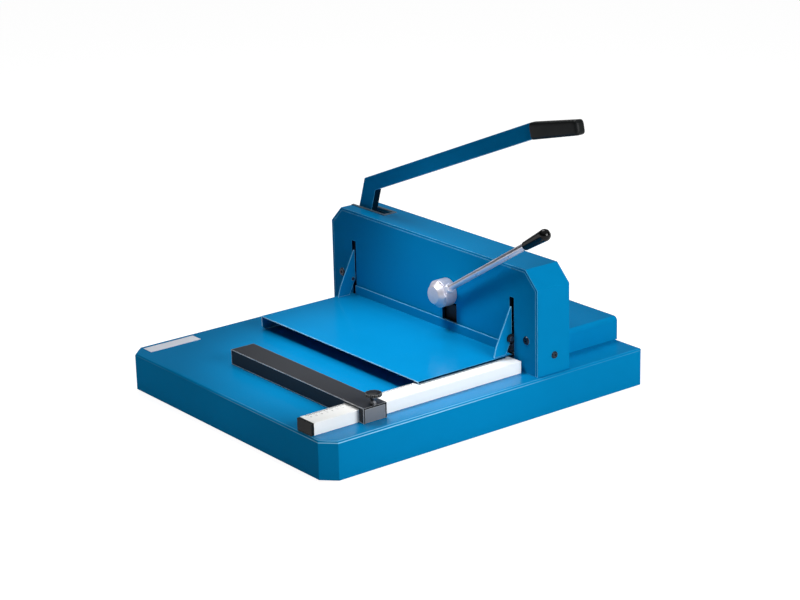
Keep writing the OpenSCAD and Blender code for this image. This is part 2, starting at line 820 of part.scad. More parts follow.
// Flange on the left edge, down to just above the table, with a round front corner
module side_flange() {
  z0 = table_z + 0.7;
  r = 8;
  translate([guard_y0 + r, z0]) square([guard_d - 12 - r, guard_z - z0]);
  translate([guard_y0, z0 + r]) square([r, guard_z - z0 - r]);
  translate([guard_y0 + r, z0 + r]) circle(r = r);
}

// Wing that stands on the guard's edge, leans back to the slot and holds the pivot pin
module wing_shape() {
  difference() {
    union() {
      polygon([[hinge_y - 33, guard_z], [hinge_y - 28, guard_z + 18], [hinge_y + 3, hinge_z + 52.5],
        [hinge_y + 5, hinge_z + 52.5], [hinge_y + 5.5, hinge_z], [hinge_y - 8, guard_z]]);
      translate([hinge_y, hinge_z]) circle(r = 5.5);
    }
    translate([hinge_y, hinge_z]) circle(r = 3 + run_c);
  }
}

module guard_wings() {
  color(paint) both_sides() rail(wing_x, wing_x + guard_t) wing_shape();
}

module guard_lugs() {
  x1 = throat_x - 1;
  color([0.45, 0.47, 0.5]) both_sides() difference() {
    union() {
      rail(lug_x, x1) {
        translate([hinge_y, hinge_z]) circle(r = 6.5);
        translate([hinge_y, hinge_z - 6.5]) square([front_in + 4 - hinge_y, 13]);
      }
      block([lug_x, front_in, hinge_z - 6.5], [column_x - 3, front_in + 4, hinge_z + 6.5]);
    }
    bar_x(hinge_y, hinge_z, 3, lug_x - 1, x1 + 1);
  }
}

module guard_pins() {
  color([0.85, 0.86, 0.88]) both_sides() {
    bar_x(hinge_y, hinge_z, 3, wing_x - 1.5, throat_x - 1 + eps);
    bar_x(hinge_y, hinge_z, 4.2, throat_x - 1, throat_x + 1);
  }
}

module ruler_bar() {
  color([0.93, 0.94, 0.94]) difference() {
    block([ruler_x, ruler_y0, table_z], [ruler_right, ruler_y1, ruler_top]);
    for (y = ruler_screw_y) bar_z(ruler_x + ruler_w / 2, y, 2.5, table_z - 1, table_z + 14);
  }
}

module ruler_cap() {
  color(black) block([ruler_x, ruler_y0 - 5.5, table_z], [ruler_right, ruler_y0, ruler_top]);
}

module ruler_screws() {
  color(steel) for (y = ruler_screw_y) {
    bar_z(ruler_x + ruler_w / 2, y, 2.5, table_z - sheet, table_z + 14);
    translate([ruler_x + ruler_w / 2, y, table_z - sheet]) rotate([180, 0, 0]) button_head(5, 3);
  }
}

// Channel open below, with a gap in both walls where it straddles the ruler
module stop_bar() {
  t = stop_wall;
  color(black) difference() {
    block([stop_left, stop_y, stop_z0], [stop_right, stop_y1, stop_z1]);
    block([stop_left - 1, stop_y + t, stop_z0 - 1], [stop_right + 1, stop_y1 - t, stop_z1 - t]);
    block([ruler_x - slide_c, stop_y - 1, stop_z0 - 1],
      [ruler_right + slide_c, stop_y1 + 1, ruler_top + slide_c]);
    bar_z(knob_x, knob_y, 2.4, stop_z1 - t - 1, stop_z1 + 1);
  }
}

module stop_caps() {
  t = stop_wall;
  color([0.32, 0.33, 0.35]) for (x = [stop_left + 0.8, stop_right - 3.3])
    block([x, stop_y + t, stop_z0], [x + 2.5, stop_y1 - t, stop_z1 - t]);
}

module stop_shoe() {
  t = stop_wall;
  color([0.85, 0.85, 0.82])
    block([ruler_x, stop_y + t, ruler_top + 0.3], [ruler_right, stop_y1 - t, stop_z1 - t]);
}

module stop_block() {
  t = stop_wall;
  color(steel) difference() {
    block([ruler_right + slide_c, stop_y + t, stop_z0], [stop_right - 3.3, stop_y1 - t, stop_z1 - t]);
    bar_z(knob_x, knob_y, 2.2 + run_c, stop_z0 + 4, stop_z1);
  }
}

module lock_knob() {
  z0 = stop_z1 + 0.4;
  z1 = z0 + 13;
  color(black) union() {
    bar_z(knob_x, knob_y, 2.2, stop_z0 + 6, z0 + 1);
    bar_z(knob_x, knob_y, 3.4, z0, z1 + 1);
    difference() {
      bar_z(knob_x, knob_y, knob_r, z1, z1 + 5.5);
      for (a = [0:30:330])
        bar_z(knob_x + (knob_r + 1.6) * cos(a), knob_y + (knob_r + 1.6) * sin(a), 2.8, z1 - 1, z1 + 7);
    }
  }
}

// Hood outline with its two long edges rounded, drawn in by i
module hood_shape(i) {
  r = hood_r - i;
  x = hood_x - i;
  z = table_z + hood_h - i;
  translate([-x, table_z]) square([2 * x, hood_h - i - r]);
  translate([-x + r, table_z]) square([2 * (x - r), hood_h - i]);
  for (s = [-1, 1]) translate([s * (x - r), z - r]) circle(r = r);
}

module rear_hood() {
  y1 = base_d / 2;
  z1 = table_z + hood_h;
  color(paint) difference() {
    union() {
      difference() {
        slab(gate_back, y1) hood_shape(0);
        slab(gate_back - 1, y1 + 1) translate([0, -1]) hood_shape(hood_t);
      }
      block([-hood_x + hood_r, gate_back, z1 - hood_t], [hood_x - hood_r, gate_back + hood_t, z1 + 16]);
      block([-hood_x + hood_r, y1 - hood_t, z1 - 12], [hood_x - hood_r, y1, z1 - hood_t / 2]);
    }
    for (x = hood_screw_x) bar_y(x, hood_screw_z, hood_screw_r, gate_back - 1, gate_back + 4);
  }
}

module hood_screws() {
  color(steel) for (x = hood_screw_x) {
    bar_y(x, hood_screw_z, hood_screw_r, rear_in, gate_back + hood_t);
    translate([x, gate_back + hood_t, hood_screw_z]) rotate([-90, 0, 0])
      button_head(2 * hood_screw_r, hood_screw_r);
  }
}

base_tray();
base_floor();
feet();
bed_beam();
cutting_stick();
gate_bolts();
blank_plate();
gate_front_plate();
gate_rear_plate();
gate_cover();
gate_columns();
plate_screws();
end_bolts();
slot_trim();
pivot_block();
lever_shaft();
shaft_ring();
lever_bar();
lever_bush();
lever_grip();
crank_pin();
blade_carrier();
blade();
blade_screws();
carrier_rollers();
guide_strips();
clamp_bar();
clamp_pad();
clamp_rack();
clamp_rods();
rod_guides();
clamp_bush();
clamp_shaft();
clamp_pinion();
clamp_hub();
rod_nut();
clamp_rod();
clamp_grip();
guard_plate();
guard_wings();
guard_lugs();
guard_pins();
ruler_bar();
ruler_cap();
ruler_screws();
stop_bar();
stop_caps();
stop_shoe();
stop_block();
lock_knob();
rear_hood();
hood_screws();
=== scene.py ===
"""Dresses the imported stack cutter: rounded edges, handles, knob, scale, finishes, light and camera."""

import json
import logging
import math
from collections.abc import Callable
from dataclasses import dataclass, replace
from enum import Enum

import bmesh
import bpy
import numpy as np
from mathutils import Matrix, Vector

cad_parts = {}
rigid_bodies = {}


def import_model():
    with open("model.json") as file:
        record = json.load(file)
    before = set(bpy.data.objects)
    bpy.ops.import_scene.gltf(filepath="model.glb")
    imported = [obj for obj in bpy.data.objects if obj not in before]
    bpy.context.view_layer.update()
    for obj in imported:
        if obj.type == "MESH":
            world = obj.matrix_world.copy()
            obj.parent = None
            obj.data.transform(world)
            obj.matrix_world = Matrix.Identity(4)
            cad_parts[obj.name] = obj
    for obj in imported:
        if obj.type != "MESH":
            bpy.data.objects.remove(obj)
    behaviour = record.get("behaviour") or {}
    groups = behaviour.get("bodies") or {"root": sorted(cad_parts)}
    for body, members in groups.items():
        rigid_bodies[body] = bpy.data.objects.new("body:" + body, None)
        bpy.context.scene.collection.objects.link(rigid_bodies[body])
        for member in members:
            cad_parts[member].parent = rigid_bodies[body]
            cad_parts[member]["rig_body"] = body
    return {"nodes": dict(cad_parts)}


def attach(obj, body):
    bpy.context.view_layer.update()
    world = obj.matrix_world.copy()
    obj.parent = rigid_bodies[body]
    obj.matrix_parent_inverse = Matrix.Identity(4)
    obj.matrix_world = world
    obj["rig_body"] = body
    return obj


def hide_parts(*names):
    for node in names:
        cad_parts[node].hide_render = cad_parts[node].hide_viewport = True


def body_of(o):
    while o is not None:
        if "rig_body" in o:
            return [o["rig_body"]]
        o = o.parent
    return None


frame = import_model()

LOG = logging.getLogger("stack_cutter")
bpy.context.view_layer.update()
MM = 0.001
# Part of a normal along an axis above which a face counts as square to it
SQUARE = 0.9
# Least radius, in millimetres, that a power is taken of
LEAST_R = 0.01
# Points nearer than this, in millimetres, become one
WELD = 0.002
# Faces thinner than this, in millimetres, are taken out
SLIVER = 0.0001
# Faces that bend less than this, in degrees, become one before their edges are rounded
FLAT_DEG = 0.6
# Edges that bend more than this, in degrees, are rounded
EDGE_DEG = 32.0
# Edges of new pieces that bend more than this, in degrees, stay sharp unless the piece says otherwise
CREASE_DEG = 35.0
# Points round a plain turned piece
ROUND_STEPS = 72

Colour = tuple[float, float, float]
Point = tuple[float, float, float]
Profile = tuple[tuple[float, float], ...]
Pick = Callable[[np.ndarray, np.ndarray], np.ndarray]
Socket = bpy.types.NodeSocket
Sockets = bpy.types.bpy_prop_collection

WHITE: Colour = (1.0, 1.0, 1.0)
RIGHT: Point = (1.0, 0.0, 0.0)
FRONT: Point = (0.0, -1.0, 0.0)
UP: Point = (0.0, 0.0, 1.0)


def ink(red: int, green: int, blue: int) -> Colour:
    """Turns an 8-bit screen colour into linear light.

    Args:
        red: red, 0 to 255.
        green: green, 0 to 255.
        blue: blue, 0 to 255.

    Returns:
        The three linear values.
    """
    c = np.array([red, green, blue]) / 255.0
    lin = np.where(c <= 0.04045, c / 12.92, ((c + 0.055) / 1.055) ** 2.4)
    return tuple(float(v) for v in lin)


class Tree:
    """Short calls that place and join the nodes of one tree; a value is a socket or plain."""

    def __init__(self, tree: bpy.types.NodeTree) -> None:
        """Keeps the tree that the calls work on."""
        self.tree = tree

    @classmethod
    def fresh(cls, owner: bpy.types.Material | bpy.types.World) -> "Tree":
        """Switches on the nodes of a material or a world and clears them.

        Args:
            owner: the material or the world.

        Returns:
            Its empty tree.
        """
        owner.use_nodes = True
        owner.node_tree.nodes.clear()
        return cls(owner.node_tree)

    def add(self, kind: str, values: dict | None = None, **options: object) -> bpy.types.Node:
        """Places a node.

        Args:
            kind: the node's type, without its ShaderNode prefix.
            values: by input name or number, a socket to join, or a number, vector or colour to set.
            options: the node's own settings.

        Returns:
            The new node.
        """
        node = self.tree.nodes.new("ShaderNode" + kind)
        for key, value in options.items():
            setattr(node, key, value)
        for key, value in (values or {}).items():
            self.join(value, node.inputs[key])
        return node

    def join(self, source: object, target: Socket) -> None:
        """Joins an output to an input, or sets a number, vector or linear colour there.

        Args:
            source: the socket or the plain value.
            target: the input.
        """
        if isinstance(source, Socket):
            self.tree.links.new(source, target)
        else:
            target.default_value = (*source, 1.0) if target.type == "RGBA" else source

    def math(self, step: str, a: object, b: object, clamp: bool = False) -> Socket:
        """Works out one number from two, kept between 0 and 1 where clamp says so."""
        return self.add("Math", {0: a, 1: b}, operation=step, use_clamp=clamp).outputs[0]

    def times(self, a: object, b: object, clamp: bool = False) -> Socket:
        """Multiplies two numbers, with the result kept between 0 and 1 where clamp says so."""
        return self.math("MULTIPLY", a, b, clamp)

    def spread(self, source: Socket, lo: float, hi: float, to_lo: float = 0.0, to_hi: float = 1.0) -> Socket:
        """Maps a value from the range lo, hi to the range to_lo, to_hi, and holds it there."""
        return self.add("MapRange", {0: source, 1: lo, 2: hi, 3: to_lo, 4: to_hi}).outputs[0]

    def mix(self, mask: Socket, a: object, b: object) -> Socket:
        """Goes from colour a to colour b by a mask; a Mix node has these at inputs 6 and 7."""
        return self.add("Mix", {0: mask, 6: a, 7: b}, data_type="RGBA").outputs[2]

    def choose(self, mask: Socket, a: Socket, b: Socket) -> Socket:
        """Goes from shader a to shader b by a mask."""
        return self.add("MixShader", {0: mask, 1: a, 2: b}).outputs[0]

    def here(self) -> Socket:
        """Gives the place on the piece, in object coordinates."""
        return self.add("TexCoord").outputs["Object"]

    def normal(self, axis: str) -> Socket:
        """Gives the X, Y or Z part of the surface's normal."""
        whole = self.add("NewGeometry").outputs["Normal"]
        return self.add("SeparateXYZ", {0: whole}).outputs[axis]

    def noise(self, scale: object, detail: float, rough: float, place: Socket | None = None) -> Socket:
        """Lays noise over the piece, or over another place; detail is its octaves, rough their weight."""
        values = {"Scale": scale, "Detail": detail, "Roughness": rough, "Vector": place or self.here()}
        return self.add("TexNoise", values).outputs[0]


class Effect(Enum):
    """Surface effects that several finishes share, each one node group."""

    # painted highlights along outer edges
    EDGE = "edge_rub"
    PEEL = "paint_peel"
    GRAIN = "drawn_grain"
    DUST = "settled_dust"
    FOLD = "worn_fold"
    BAND = "dim_band"


class EffectShelf:
    """Builds each shared effect once and hands it out."""

    def __init__(self) -> None:
        """Starts with nothing built."""
        self.built: dict[Effect, bpy.types.NodeTree] = {}

    def get(self, effect: Effect) -> bpy.types.NodeTree:
        """Gives an effect's node group, building it the first time.

        Args:
            effect: which effect.

        Returns:
            The node group.
        """
        if effect not in self.built:
            makers = {Effect.EDGE: self._edge, Effect.PEEL: self._peel, Effect.GRAIN: self._grain,
                      Effect.DUST: self._dust, Effect.FOLD: self._fold, Effect.BAND: self._band}
            self.built[effect] = makers[effect]()
        return self.built[effect]

    @staticmethod
    def _start(effect: Effect, inputs: dict[str, float | Point], *outputs: str,
               ) -> tuple[Tree, Sockets, Sockets]:
        """Opens an effect's group with its sockets.

        Args:
            effect: which effect.
            inputs: default by input name, a number or a vector.
            outputs: names of the outputs, all numbers.

        Returns:
            The tree, what it is given and what it puts out.
        """
        group = bpy.data.node_groups.new(effect.value, "ShaderNodeTree")
        for key, value in inputs.items():
            kind = "NodeSocketVector" if isinstance(value, tuple) else "NodeSocketFloat"
            group.interface.new_socket(key, in_out="INPUT", socket_type=kind).default_value = value
        for key in outputs:
            group.interface.new_socket(key, in_out="OUTPUT", socket_type="NodeSocketFloat")
        given = group.nodes.new("NodeGroupInput").outputs
        return Tree(group), given, group.nodes.new("NodeGroupOutput").inputs

    def _edge(self) -> bpy.types.NodeTree:
        """Mask of painted highlights on outer edges: how much of the inside within reach is open, broken up
        by noise.

        Front takes away, from 0 to 1, the painted highlight on edges that don't look to the front.

        Returns:
            The node group.
        """
        t, given, out = self._start(Effect.EDGE, {"Radius": 0.001, "Break": 90.0, "Front": 0.0}, "Mask")
        inside = t.add("AmbientOcclusion", {"Distance": given["Radius"]}, samples=8, inside=True,
                       only_local=True)
        turn = t.spread(inside.outputs["AO"], 0.94, 0.66)
        patch = t.spread(t.noise(given["Break"], 4.0, 0.6), 0.30, 0.62, 0.6, 1.0)
        away = t.spread(t.normal("Y"), -0.45, -0.10)
        kept = t.math("SUBTRACT", 1.0, t.times(away, given["Front"]))
        t.join(t.times(t.times(turn, patch), kept, True), out["Mask"])
        return t.tree

    def _peel(self) -> bpy.types.NodeTree:
        """Sprayed paint: fine pebbling as height, a broad drift of shade and a drift of gloss.

        Returns:
            The node group.
        """
        t, given, out = self._start(Effect.PEEL, {"Pebble": 620.0, "Drift": 5.0, "Haze": 14.0},
                                    "Height", "Shade", "Gloss")
        for key, scale, detail in (("Height", "Pebble", 2.0), ("Shade", "Drift", 3.0),
                                   ("Gloss", "Haze", 2.0)):
            t.join(t.spread(t.noise(given[scale], detail, 0.5), 0.3, 0.7), out[key])
        return t.tree

    def _grain(self) -> bpy.types.NodeTree:
        """Drawn or ground metal: noise squeezed across the grain, as streaks and as a cloudy tone.

        Returns:
            The node group.
        """
        t, given, out = self._start(Effect.GRAIN, {"Squeeze": Grain.ALONG_X.value, "Cloud": 28.0},
                                    "Streak", "Tone")
        squeeze = t.add("VectorMath", {0: t.here(), 1: given["Squeeze"]}, operation="MULTIPLY")
        t.join(t.spread(t.noise(1.0, 3.0, 0.65, squeeze.outputs[0]), 0.28, 0.72), out["Streak"])
        t.join(t.spread(t.noise(given["Cloud"], 4.0, 0.55), 0.3, 0.7), out["Tone"])
        return t.tree

    def _dust(self) -> bpy.types.NodeTree:
        """Mask of fine dust: faces that look up, speckled by two sizes of noise.

        Returns:
            The node group.
        """
        t, given, out = self._start(Effect.DUST, {"Speck": 420.0, "Cloud": 9.0}, "Mask")
        flat = t.spread(t.normal("Z"), 0.55, 0.95)
        speck = t.spread(t.noise(given["Speck"], 2.0, 0.5), 0.58, 0.78)
        cloud = t.spread(t.noise(given["Cloud"], 4.0, 0.6), 0.4, 0.7)
        t.join(t.times(flat, t.times(speck, cloud), True), out["Mask"])
        return t.tree

    def _fold(self) -> bpy.types.NodeTree:
        """Mask of a painted highlight along a bent sheet's fold: a faint line where it leaves the top, a full
        one at the side.

        Both are bands of the normal's height, thinned by noise and by the distance from the spot where the
        painted highlight is brightest.

        Returns:
            The node group.
        """
        t, given, out = self._start(Effect.FOLD, {"Break": 5.0, "Spot": (0.30, -0.20, 0.06)}, "Mask")
        level = t.normal("Z")
        side = t.times(t.spread(level, 0.12, 0.24), t.spread(level, 0.36, 0.48, 1.0, 0.0))
        top = t.times(t.spread(level, 0.80, 0.87, 0.0, 0.55), t.spread(level, 0.93, 0.97, 1.0, 0.0))
        patch = t.spread(t.noise(given["Break"], 3.0, 0.6), 0.36, 0.62, 0.3, 1.0)
        far = t.add("VectorMath", {0: t.here(), 1: given["Spot"]}, operation="DISTANCE")
        spot_falloff = t.times(patch, t.spread(far.outputs["Value"], 0.10, 0.34, 1.0, 0.16))
        t.join(t.times(t.math("ADD", side, top), spot_falloff, True), out["Mask"])
        return t.tree

    def _band(self) -> bpy.types.NodeTree:
        """Mask of a painted reflection on polished bars, a dim band: normals a little above level, wavering
        along the bar.

        Returns:
            The node group.
        """
        t, given, out = self._start(Effect.BAND, {"Waver": 60.0}, "Mask")
        waver = t.spread(t.noise(given["Waver"], 2.0, 0.5), 0.3, 0.7, -0.03, 0.03)
        level = t.math("ADD", t.normal("Z"), waver)
        t.join(t.times(t.spread(level, 0.0, 0.16), t.spread(level, 0.42, 0.66, 1.0, 0.0), True), out["Mask"])
        return t.tree


EFFECTS = EffectShelf()


class Grain(Enum):
    """Which way a metal's grain runs: the squeeze of its noise along each axis."""

    ALONG_X = (9.0, 950.0, 950.0)
    ALONG_Y = (950.0, 9.0, 950.0)
    ALONG_Z = (950.0, 950.0, 9.0)
    CAST = (260.0, 260.0, 260.0)


@dataclass(frozen=True)
class Finish:
    """What every finish has: the record's slot, a linear colour, a middle roughness, depth of relief."""

    slot: str
    colour: Colour
    roughness: float
    variant: str = ""
    depth_mm: float = 0.04

    def material(self) -> bpy.types.Material:
        """Gives the finish's material, building it the first time.

        Returns:
            The material.
        """
        name = "finish_" + self.slot + self.variant
        if name in bpy.data.materials:
            return bpy.data.materials[name]
        made = bpy.data.materials.new(name)
        tree = Tree.fresh(made)
        shader = tree.add("BsdfPrincipled", self.lay(tree))
        tree.add("OutputMaterial", {"Surface": shader.outputs[0]})
        made.diffuse_color = (*self.colour, 1.0)
        return made

    def lay(self, tree: Tree) -> dict[str, object]:
        """Gives the shader's inputs, each a socket or plain; each kind of finish has its own."""
        raise NotImplementedError

    def shade(self, share: float) -> Colour:
        """Gives a share of the finish's colour."""
        return tuple(c * share for c in self.colour)

    def relief_of(self, tree: Tree, height: Socket, strength: float) -> Socket:
        """Turns a height into a normal, by how much of it shows."""
        values = {"Strength": strength, "Distance": self.depth_mm * MM, "Height": height}
        return tree.add("Bump", values).outputs[0]

    @staticmethod
    def effect(tree: Tree, effect: Effect, **values: object) -> Sockets:
        """Places a shared effect with its own values and gives its outputs."""
        return tree.add("Group", values, node_tree=EFFECTS.get(effect)).outputs


@dataclass(frozen=True)
class Paint(Finish):
    """Sprayed paint on sheet steel: pebbled film, painted highlights on edges and folds, and a little dust.
    """

    # edge is the colour of the painted edge highlight, and front how much of it leaves edges that don't look
    # to the front
    edge: Colour = (0.2, 0.5, 0.75)
    edge_mm: float = 1.5
    front: float = 0.0
    drift: float = 0.05
    sway: float = 0.02
    peel: float = 0.10
    gloss: float = 0.003
    lacquer: float = 0.0
    slant: tuple[float, float] = (0.56, 0.72)
    lacquer_rough: float = 0.16
    # fold is how much of the painted fold highlight shows, and line its colour
    fold: float = 0.0
    line: Colour = (0.3, 0.6, 0.8)
    dust: float = 0.03
    dust_grey: Colour = (0.55, 0.58, 0.6)

    def lay(self, tree: Tree) -> dict[str, object]:
        """Mixes drift, dust, painted edge highlights and painted fold highlights into the colour, and
        pebbling into the normal.

        Args:
            tree: the material's tree.

        Returns:
            The shader's inputs.
        """
        peel = self.effect(tree, Effect.PEEL)
        edge = self.effect(tree, Effect.EDGE, Radius=self.edge_mm * MM, Front=self.front)
        dust = self.effect(tree, Effect.DUST)
        colour = tree.mix(peel["Shade"], self.shade(1.0 - self.drift), self.shade(1.0 + self.drift))
        colour = tree.mix(tree.times(dust["Mask"], self.dust), colour, self.dust_grey)
        # painted highlight on the edges
        colour = tree.mix(edge["Mask"], colour, self.edge)
        # painted highlight along the folds
        if self.fold:
            fold = self.effect(tree, Effect.FOLD)
            colour = tree.mix(tree.times(fold["Mask"], self.fold), colour, self.line)
        low, high = self.roughness - self.sway, self.roughness + self.sway
        inputs = {"Base Color": colour, "Roughness": tree.spread(peel["Gloss"], 0.0, 1.0, low, high),
                  "Specular IOR Level": self.gloss,
                  "Normal": self.relief_of(tree, peel["Height"], self.peel)}
        if self.lacquer:
            facing = tree.add("LayerWeight", {"Blend": 0.5}).outputs["Facing"]
            inputs["Coat Weight"] = tree.spread(facing, *self.slant, 0.0, self.lacquer)
            inputs["Coat Roughness"] = self.lacquer_rough
        return inputs


@dataclass(frozen=True)
class Metal(Finish):
    """Bare metal: streaks along the grain, cloudy tone, painted highlights on edges and sometimes a painted
    reflection band.
    """

    depth_mm: float = 0.03
    grain: Grain = Grain.CAST
    streak: float = 0.15
    relief: float = 0.1
    edge: float = 0.15
    edge_lift: float = 0.05
    edge_mm: float = 0.6
    metallic: float = 1.0
    cloud: Colour = (0.12, 0.11, 0.10)
    cloud_share: float = 0.35
    sway: tuple[float, float] = (0.8, 1.25)
    band: float = 0.0
    band_shade: float = 0.12

    def lay(self, tree: Tree) -> dict[str, object]:
        """Streaks the colour and the roughness, paints highlights on the edges and paints a dim reflection
        band.

        Args:
            tree: the material's tree.

        Returns:
            The shader's inputs.
        """
        grain = self.effect(tree, Effect.GRAIN, Squeeze=self.grain.value)
        edge = self.effect(tree, Effect.EDGE, Radius=self.edge_mm * MM)
        bright = tuple(min(1.0, c * (1.0 + self.edge) + self.edge_lift) for c in self.colour)
        colour = tree.mix(grain["Streak"], self.shade(1.0 - self.streak), self.colour)
        colour = tree.mix(tree.times(grain["Tone"], self.cloud_share * self.streak), colour, self.cloud)
        # painted highlight on the edges
        colour = tree.mix(edge["Mask"], colour, bright)
        # painted reflection: a dim band where a polished bar would mirror dark walls
        if self.band:
            band = self.effect(tree, Effect.BAND)
            colour = tree.mix(tree.times(band["Mask"], self.band), colour, self.shade(self.band_shade))
        low, high = (self.roughness * share for share in self.sway)
        return {"Base Color": colour, "Roughness": tree.spread(grain["Tone"], 0.0, 1.0, low, high),
                "Metallic": self.metallic, "Normal": self.relief_of(tree, grain["Streak"], self.relief)}


@dataclass(frozen=True)
class Moulded(Finish):
    """Moulded plastic or rubber: fine skin texture, faint mottle and painted highlights on edges."""

    depth_mm: float = 0.05
    skin: float = 700.0
    mottle: float = 22.0
    mottle_shade: float = 0.88
    sway: tuple[float, float] = (0.85, 1.2)
    relief: float = 0.2
    gloss: float = 0.4
    coat: float = 0.0
    coat_rough: float = 0.04
    edge: float = 0.5
    edge_lift: float = 0.08
    edge_mm: float = 1.2
    dust: float = 0.04
    dust_grey: Colour = (0.4, 0.4, 0.4)

    def lay(self, tree: Tree) -> dict[str, object]:
        """Mottles the colour, paints highlights on the edges and raises the skin.

        Args:
            tree: the material's tree.

        Returns:
            The shader's inputs.
        """
        peel = self.effect(tree, Effect.PEEL, Pebble=self.skin, Drift=self.mottle)
        edge = self.effect(tree, Effect.EDGE, Radius=self.edge_mm * MM)
        dust = self.effect(tree, Effect.DUST)
        lit = tuple(c + (1.0 - c) * self.edge_lift * self.edge for c in self.colour)
        colour = tree.mix(peel["Shade"], self.shade(self.mottle_shade), self.colour)
        colour = tree.mix(tree.times(dust["Mask"], self.dust), colour, self.dust_grey)
        # painted highlight on the edges
        colour = tree.mix(edge["Mask"], colour, lit)
        low, high = (self.roughness * share for share in self.sway)
        return {"Base Color": colour, "Roughness": tree.spread(peel["Gloss"], 0.0, 1.0, low, high),
                "Specular IOR Level": self.gloss, "Coat Weight": self.coat, "Coat Roughness": self.coat_rough,
                "Normal": self.relief_of(tree, peel["Height"], self.relief)}


# The pale edge colours of the blue paints are painted highlights on their edges; the cover keeps them on
# edges that look to the front.
BLUE = Paint("blue_paint", ink(3, 126, 182), 0.25, edge=ink(126, 200, 236), lacquer=1.0)
COVER_BLUE = replace(BLUE, variant="_cover", edge=ink(120, 205, 245), edge_mm=1.6, front=1.0)
# The hood's edge colour, darker than its paint, is painted shade along its edges.
HOOD_BLUE = replace(BLUE, variant="_hood", edge=ink(3, 104, 154))
SHEET_BLUE = replace(BLUE, variant="_sheet", edge=ink(66, 162, 212))
# The tray's line colour is a painted highlight along its folds.
FOLDED_BLUE = replace(BLUE, variant="_folded", edge=ink(12, 132, 188), fold=1.0, line=ink(150, 215, 245))
# A pale blue laid as a painted highlight on the guard's thin front edge.
PAINTED_HIGHLIGHT_BLUE = Paint("blue_paint", ink(150, 205, 235), 0.3, "_painted_highlight", edge=ink(225, 242, 252))
# A dark blue laid as painted shade on faces that lie in shade: inside the gate's openings, under the lever's
# arm and on the guard's right lip.
PAINTED_SHADE_BLUE = Paint("blue_paint", ink(2, 28, 46), 0.5, "_painted_shade", edge=ink(4, 60, 92))
# Its lighter edge colour is a painted highlight on the edges.
GREY = Paint("grey_paint", ink(120, 124, 128), 0.5, edge=ink(170, 172, 174))
# The near-white edge colour is a painted highlight, kept on edges that look to the front.
BLACK = Paint("black_paint", ink(49, 51, 55), 0.36, edge=ink(250, 250, 251), edge_mm=2.0, front=0.9,
              gloss=0.1)
# The light edge colour is a painted highlight on the ends' edges.
BLACK_END = Paint("black_paint", ink(18, 20, 22), 0.5, "_end", edge=ink(190, 194, 198), edge_mm=0.6,
                  gloss=0.1)
# Its dark colour is painted shade, standing for the shade inside the gate's notch where the pinion and rack
# show.
PAINTED_SHADE_STEEL = Metal("bare_steel", ink(54, 56, 60), 0.55)
GROUND_STEEL = Metal("ground_steel", ink(196, 198, 202), 0.26, grain=Grain.ALONG_Y)
STEM_STEEL = Metal("ground_steel", ink(120, 122, 126), 0.34, "_stem", grain=Grain.ALONG_Z)
BLADE_STEEL = Metal("blade_steel", ink(214, 216, 220), 0.18, grain=Grain.ALONG_Z, streak=0.2)
# The strong edge brightening paints glints on the screw heads.
DARK_SCREW = Metal("dark_screw", ink(40, 50, 62), 0.28, edge=3.0)
# The rod's band is a painted reflection of dark walls, a dim band just above its middle.
CHROME = Metal("chrome", ink(222, 220, 232), 0.30, streak=0.05, relief=0.0, edge=0.05, metallic=0.5,
               band=0.85)
# The edge brightening paints a small glint on the pin.
PIN_CHROME = Metal("chrome", ink(84, 92, 102), 0.34, "_pin", streak=0.05, relief=0.0, edge=1.4)
NUT_CHROME = Metal("chrome", ink(226, 225, 234), 0.34, "_nut", streak=0.05, relief=0.0, metallic=0.4)
CAST_ALUMINIUM = Metal("cast_aluminium", ink(206, 204, 215), 0.38, streak=0.10, relief=0.12, metallic=0.55)
# Its dark colour is painted shade, standing for the shade inside the gate's notch where the clamp bar shows.
PAINTED_SHADE_ALUMINIUM = Metal("drawn_aluminium", ink(50, 52, 57), 0.5, grain=Grain.ALONG_X)
# Its lighter edge colour is a painted highlight on the edges.
PLATE_ALUMINIUM = Paint("plate_aluminium", ink(228, 232, 241), 0.4, edge=ink(245, 247, 250), edge_mm=0.3)
# Its lighter edge colour is a painted highlight on the edges.
RULER_WHITE = Paint("ruler_white", ink(250, 251, 249), 0.35, edge=ink(254, 254, 254), drift=0.01, gloss=0.3)
BRONZE = Metal("bronze", ink(176, 132, 78), 0.35)
BLACK_PLASTIC = Moulded("black_plastic", ink(14, 17, 18), 0.45, gloss=0.12, edge=1.0)
# The strong edge lightening is a painted highlight on the knob's rims.
KNOB_BLACK = Moulded("black_plastic", ink(12, 14, 15), 0.4, "_knob", gloss=0.3, edge=4.5)
GLOSS_BLACK = Moulded("gloss_black", ink(6, 6, 7), 0.16, relief=0.02, gloss=0.10, coat=0.2, dust=0.0)
# The strong edge lightening is a painted highlight on the caps' edges.
GREY_PLASTIC = Moulded("grey_plastic", ink(112, 118, 126), 0.4, edge=4.0)
WHITE_PLASTIC = Moulded("white_plastic", ink(226, 226, 220), 0.4, edge=0.2)
TRIM_PLASTIC = Moulded("trim_plastic", ink(66, 88, 104), 0.5)
FOOT_RUBBER = Moulded("foot_rubber", ink(24, 24, 25), 0.7, relief=0.4)
TICK_INK = Moulded("tick_ink", ink(104, 106, 110), 0.5, relief=0.05, dust=0.0)


def circle(steps: int) -> np.ndarray:
    """Gives even angles round a circle, in radians."""
    return 2 * np.pi * np.arange(steps) / steps


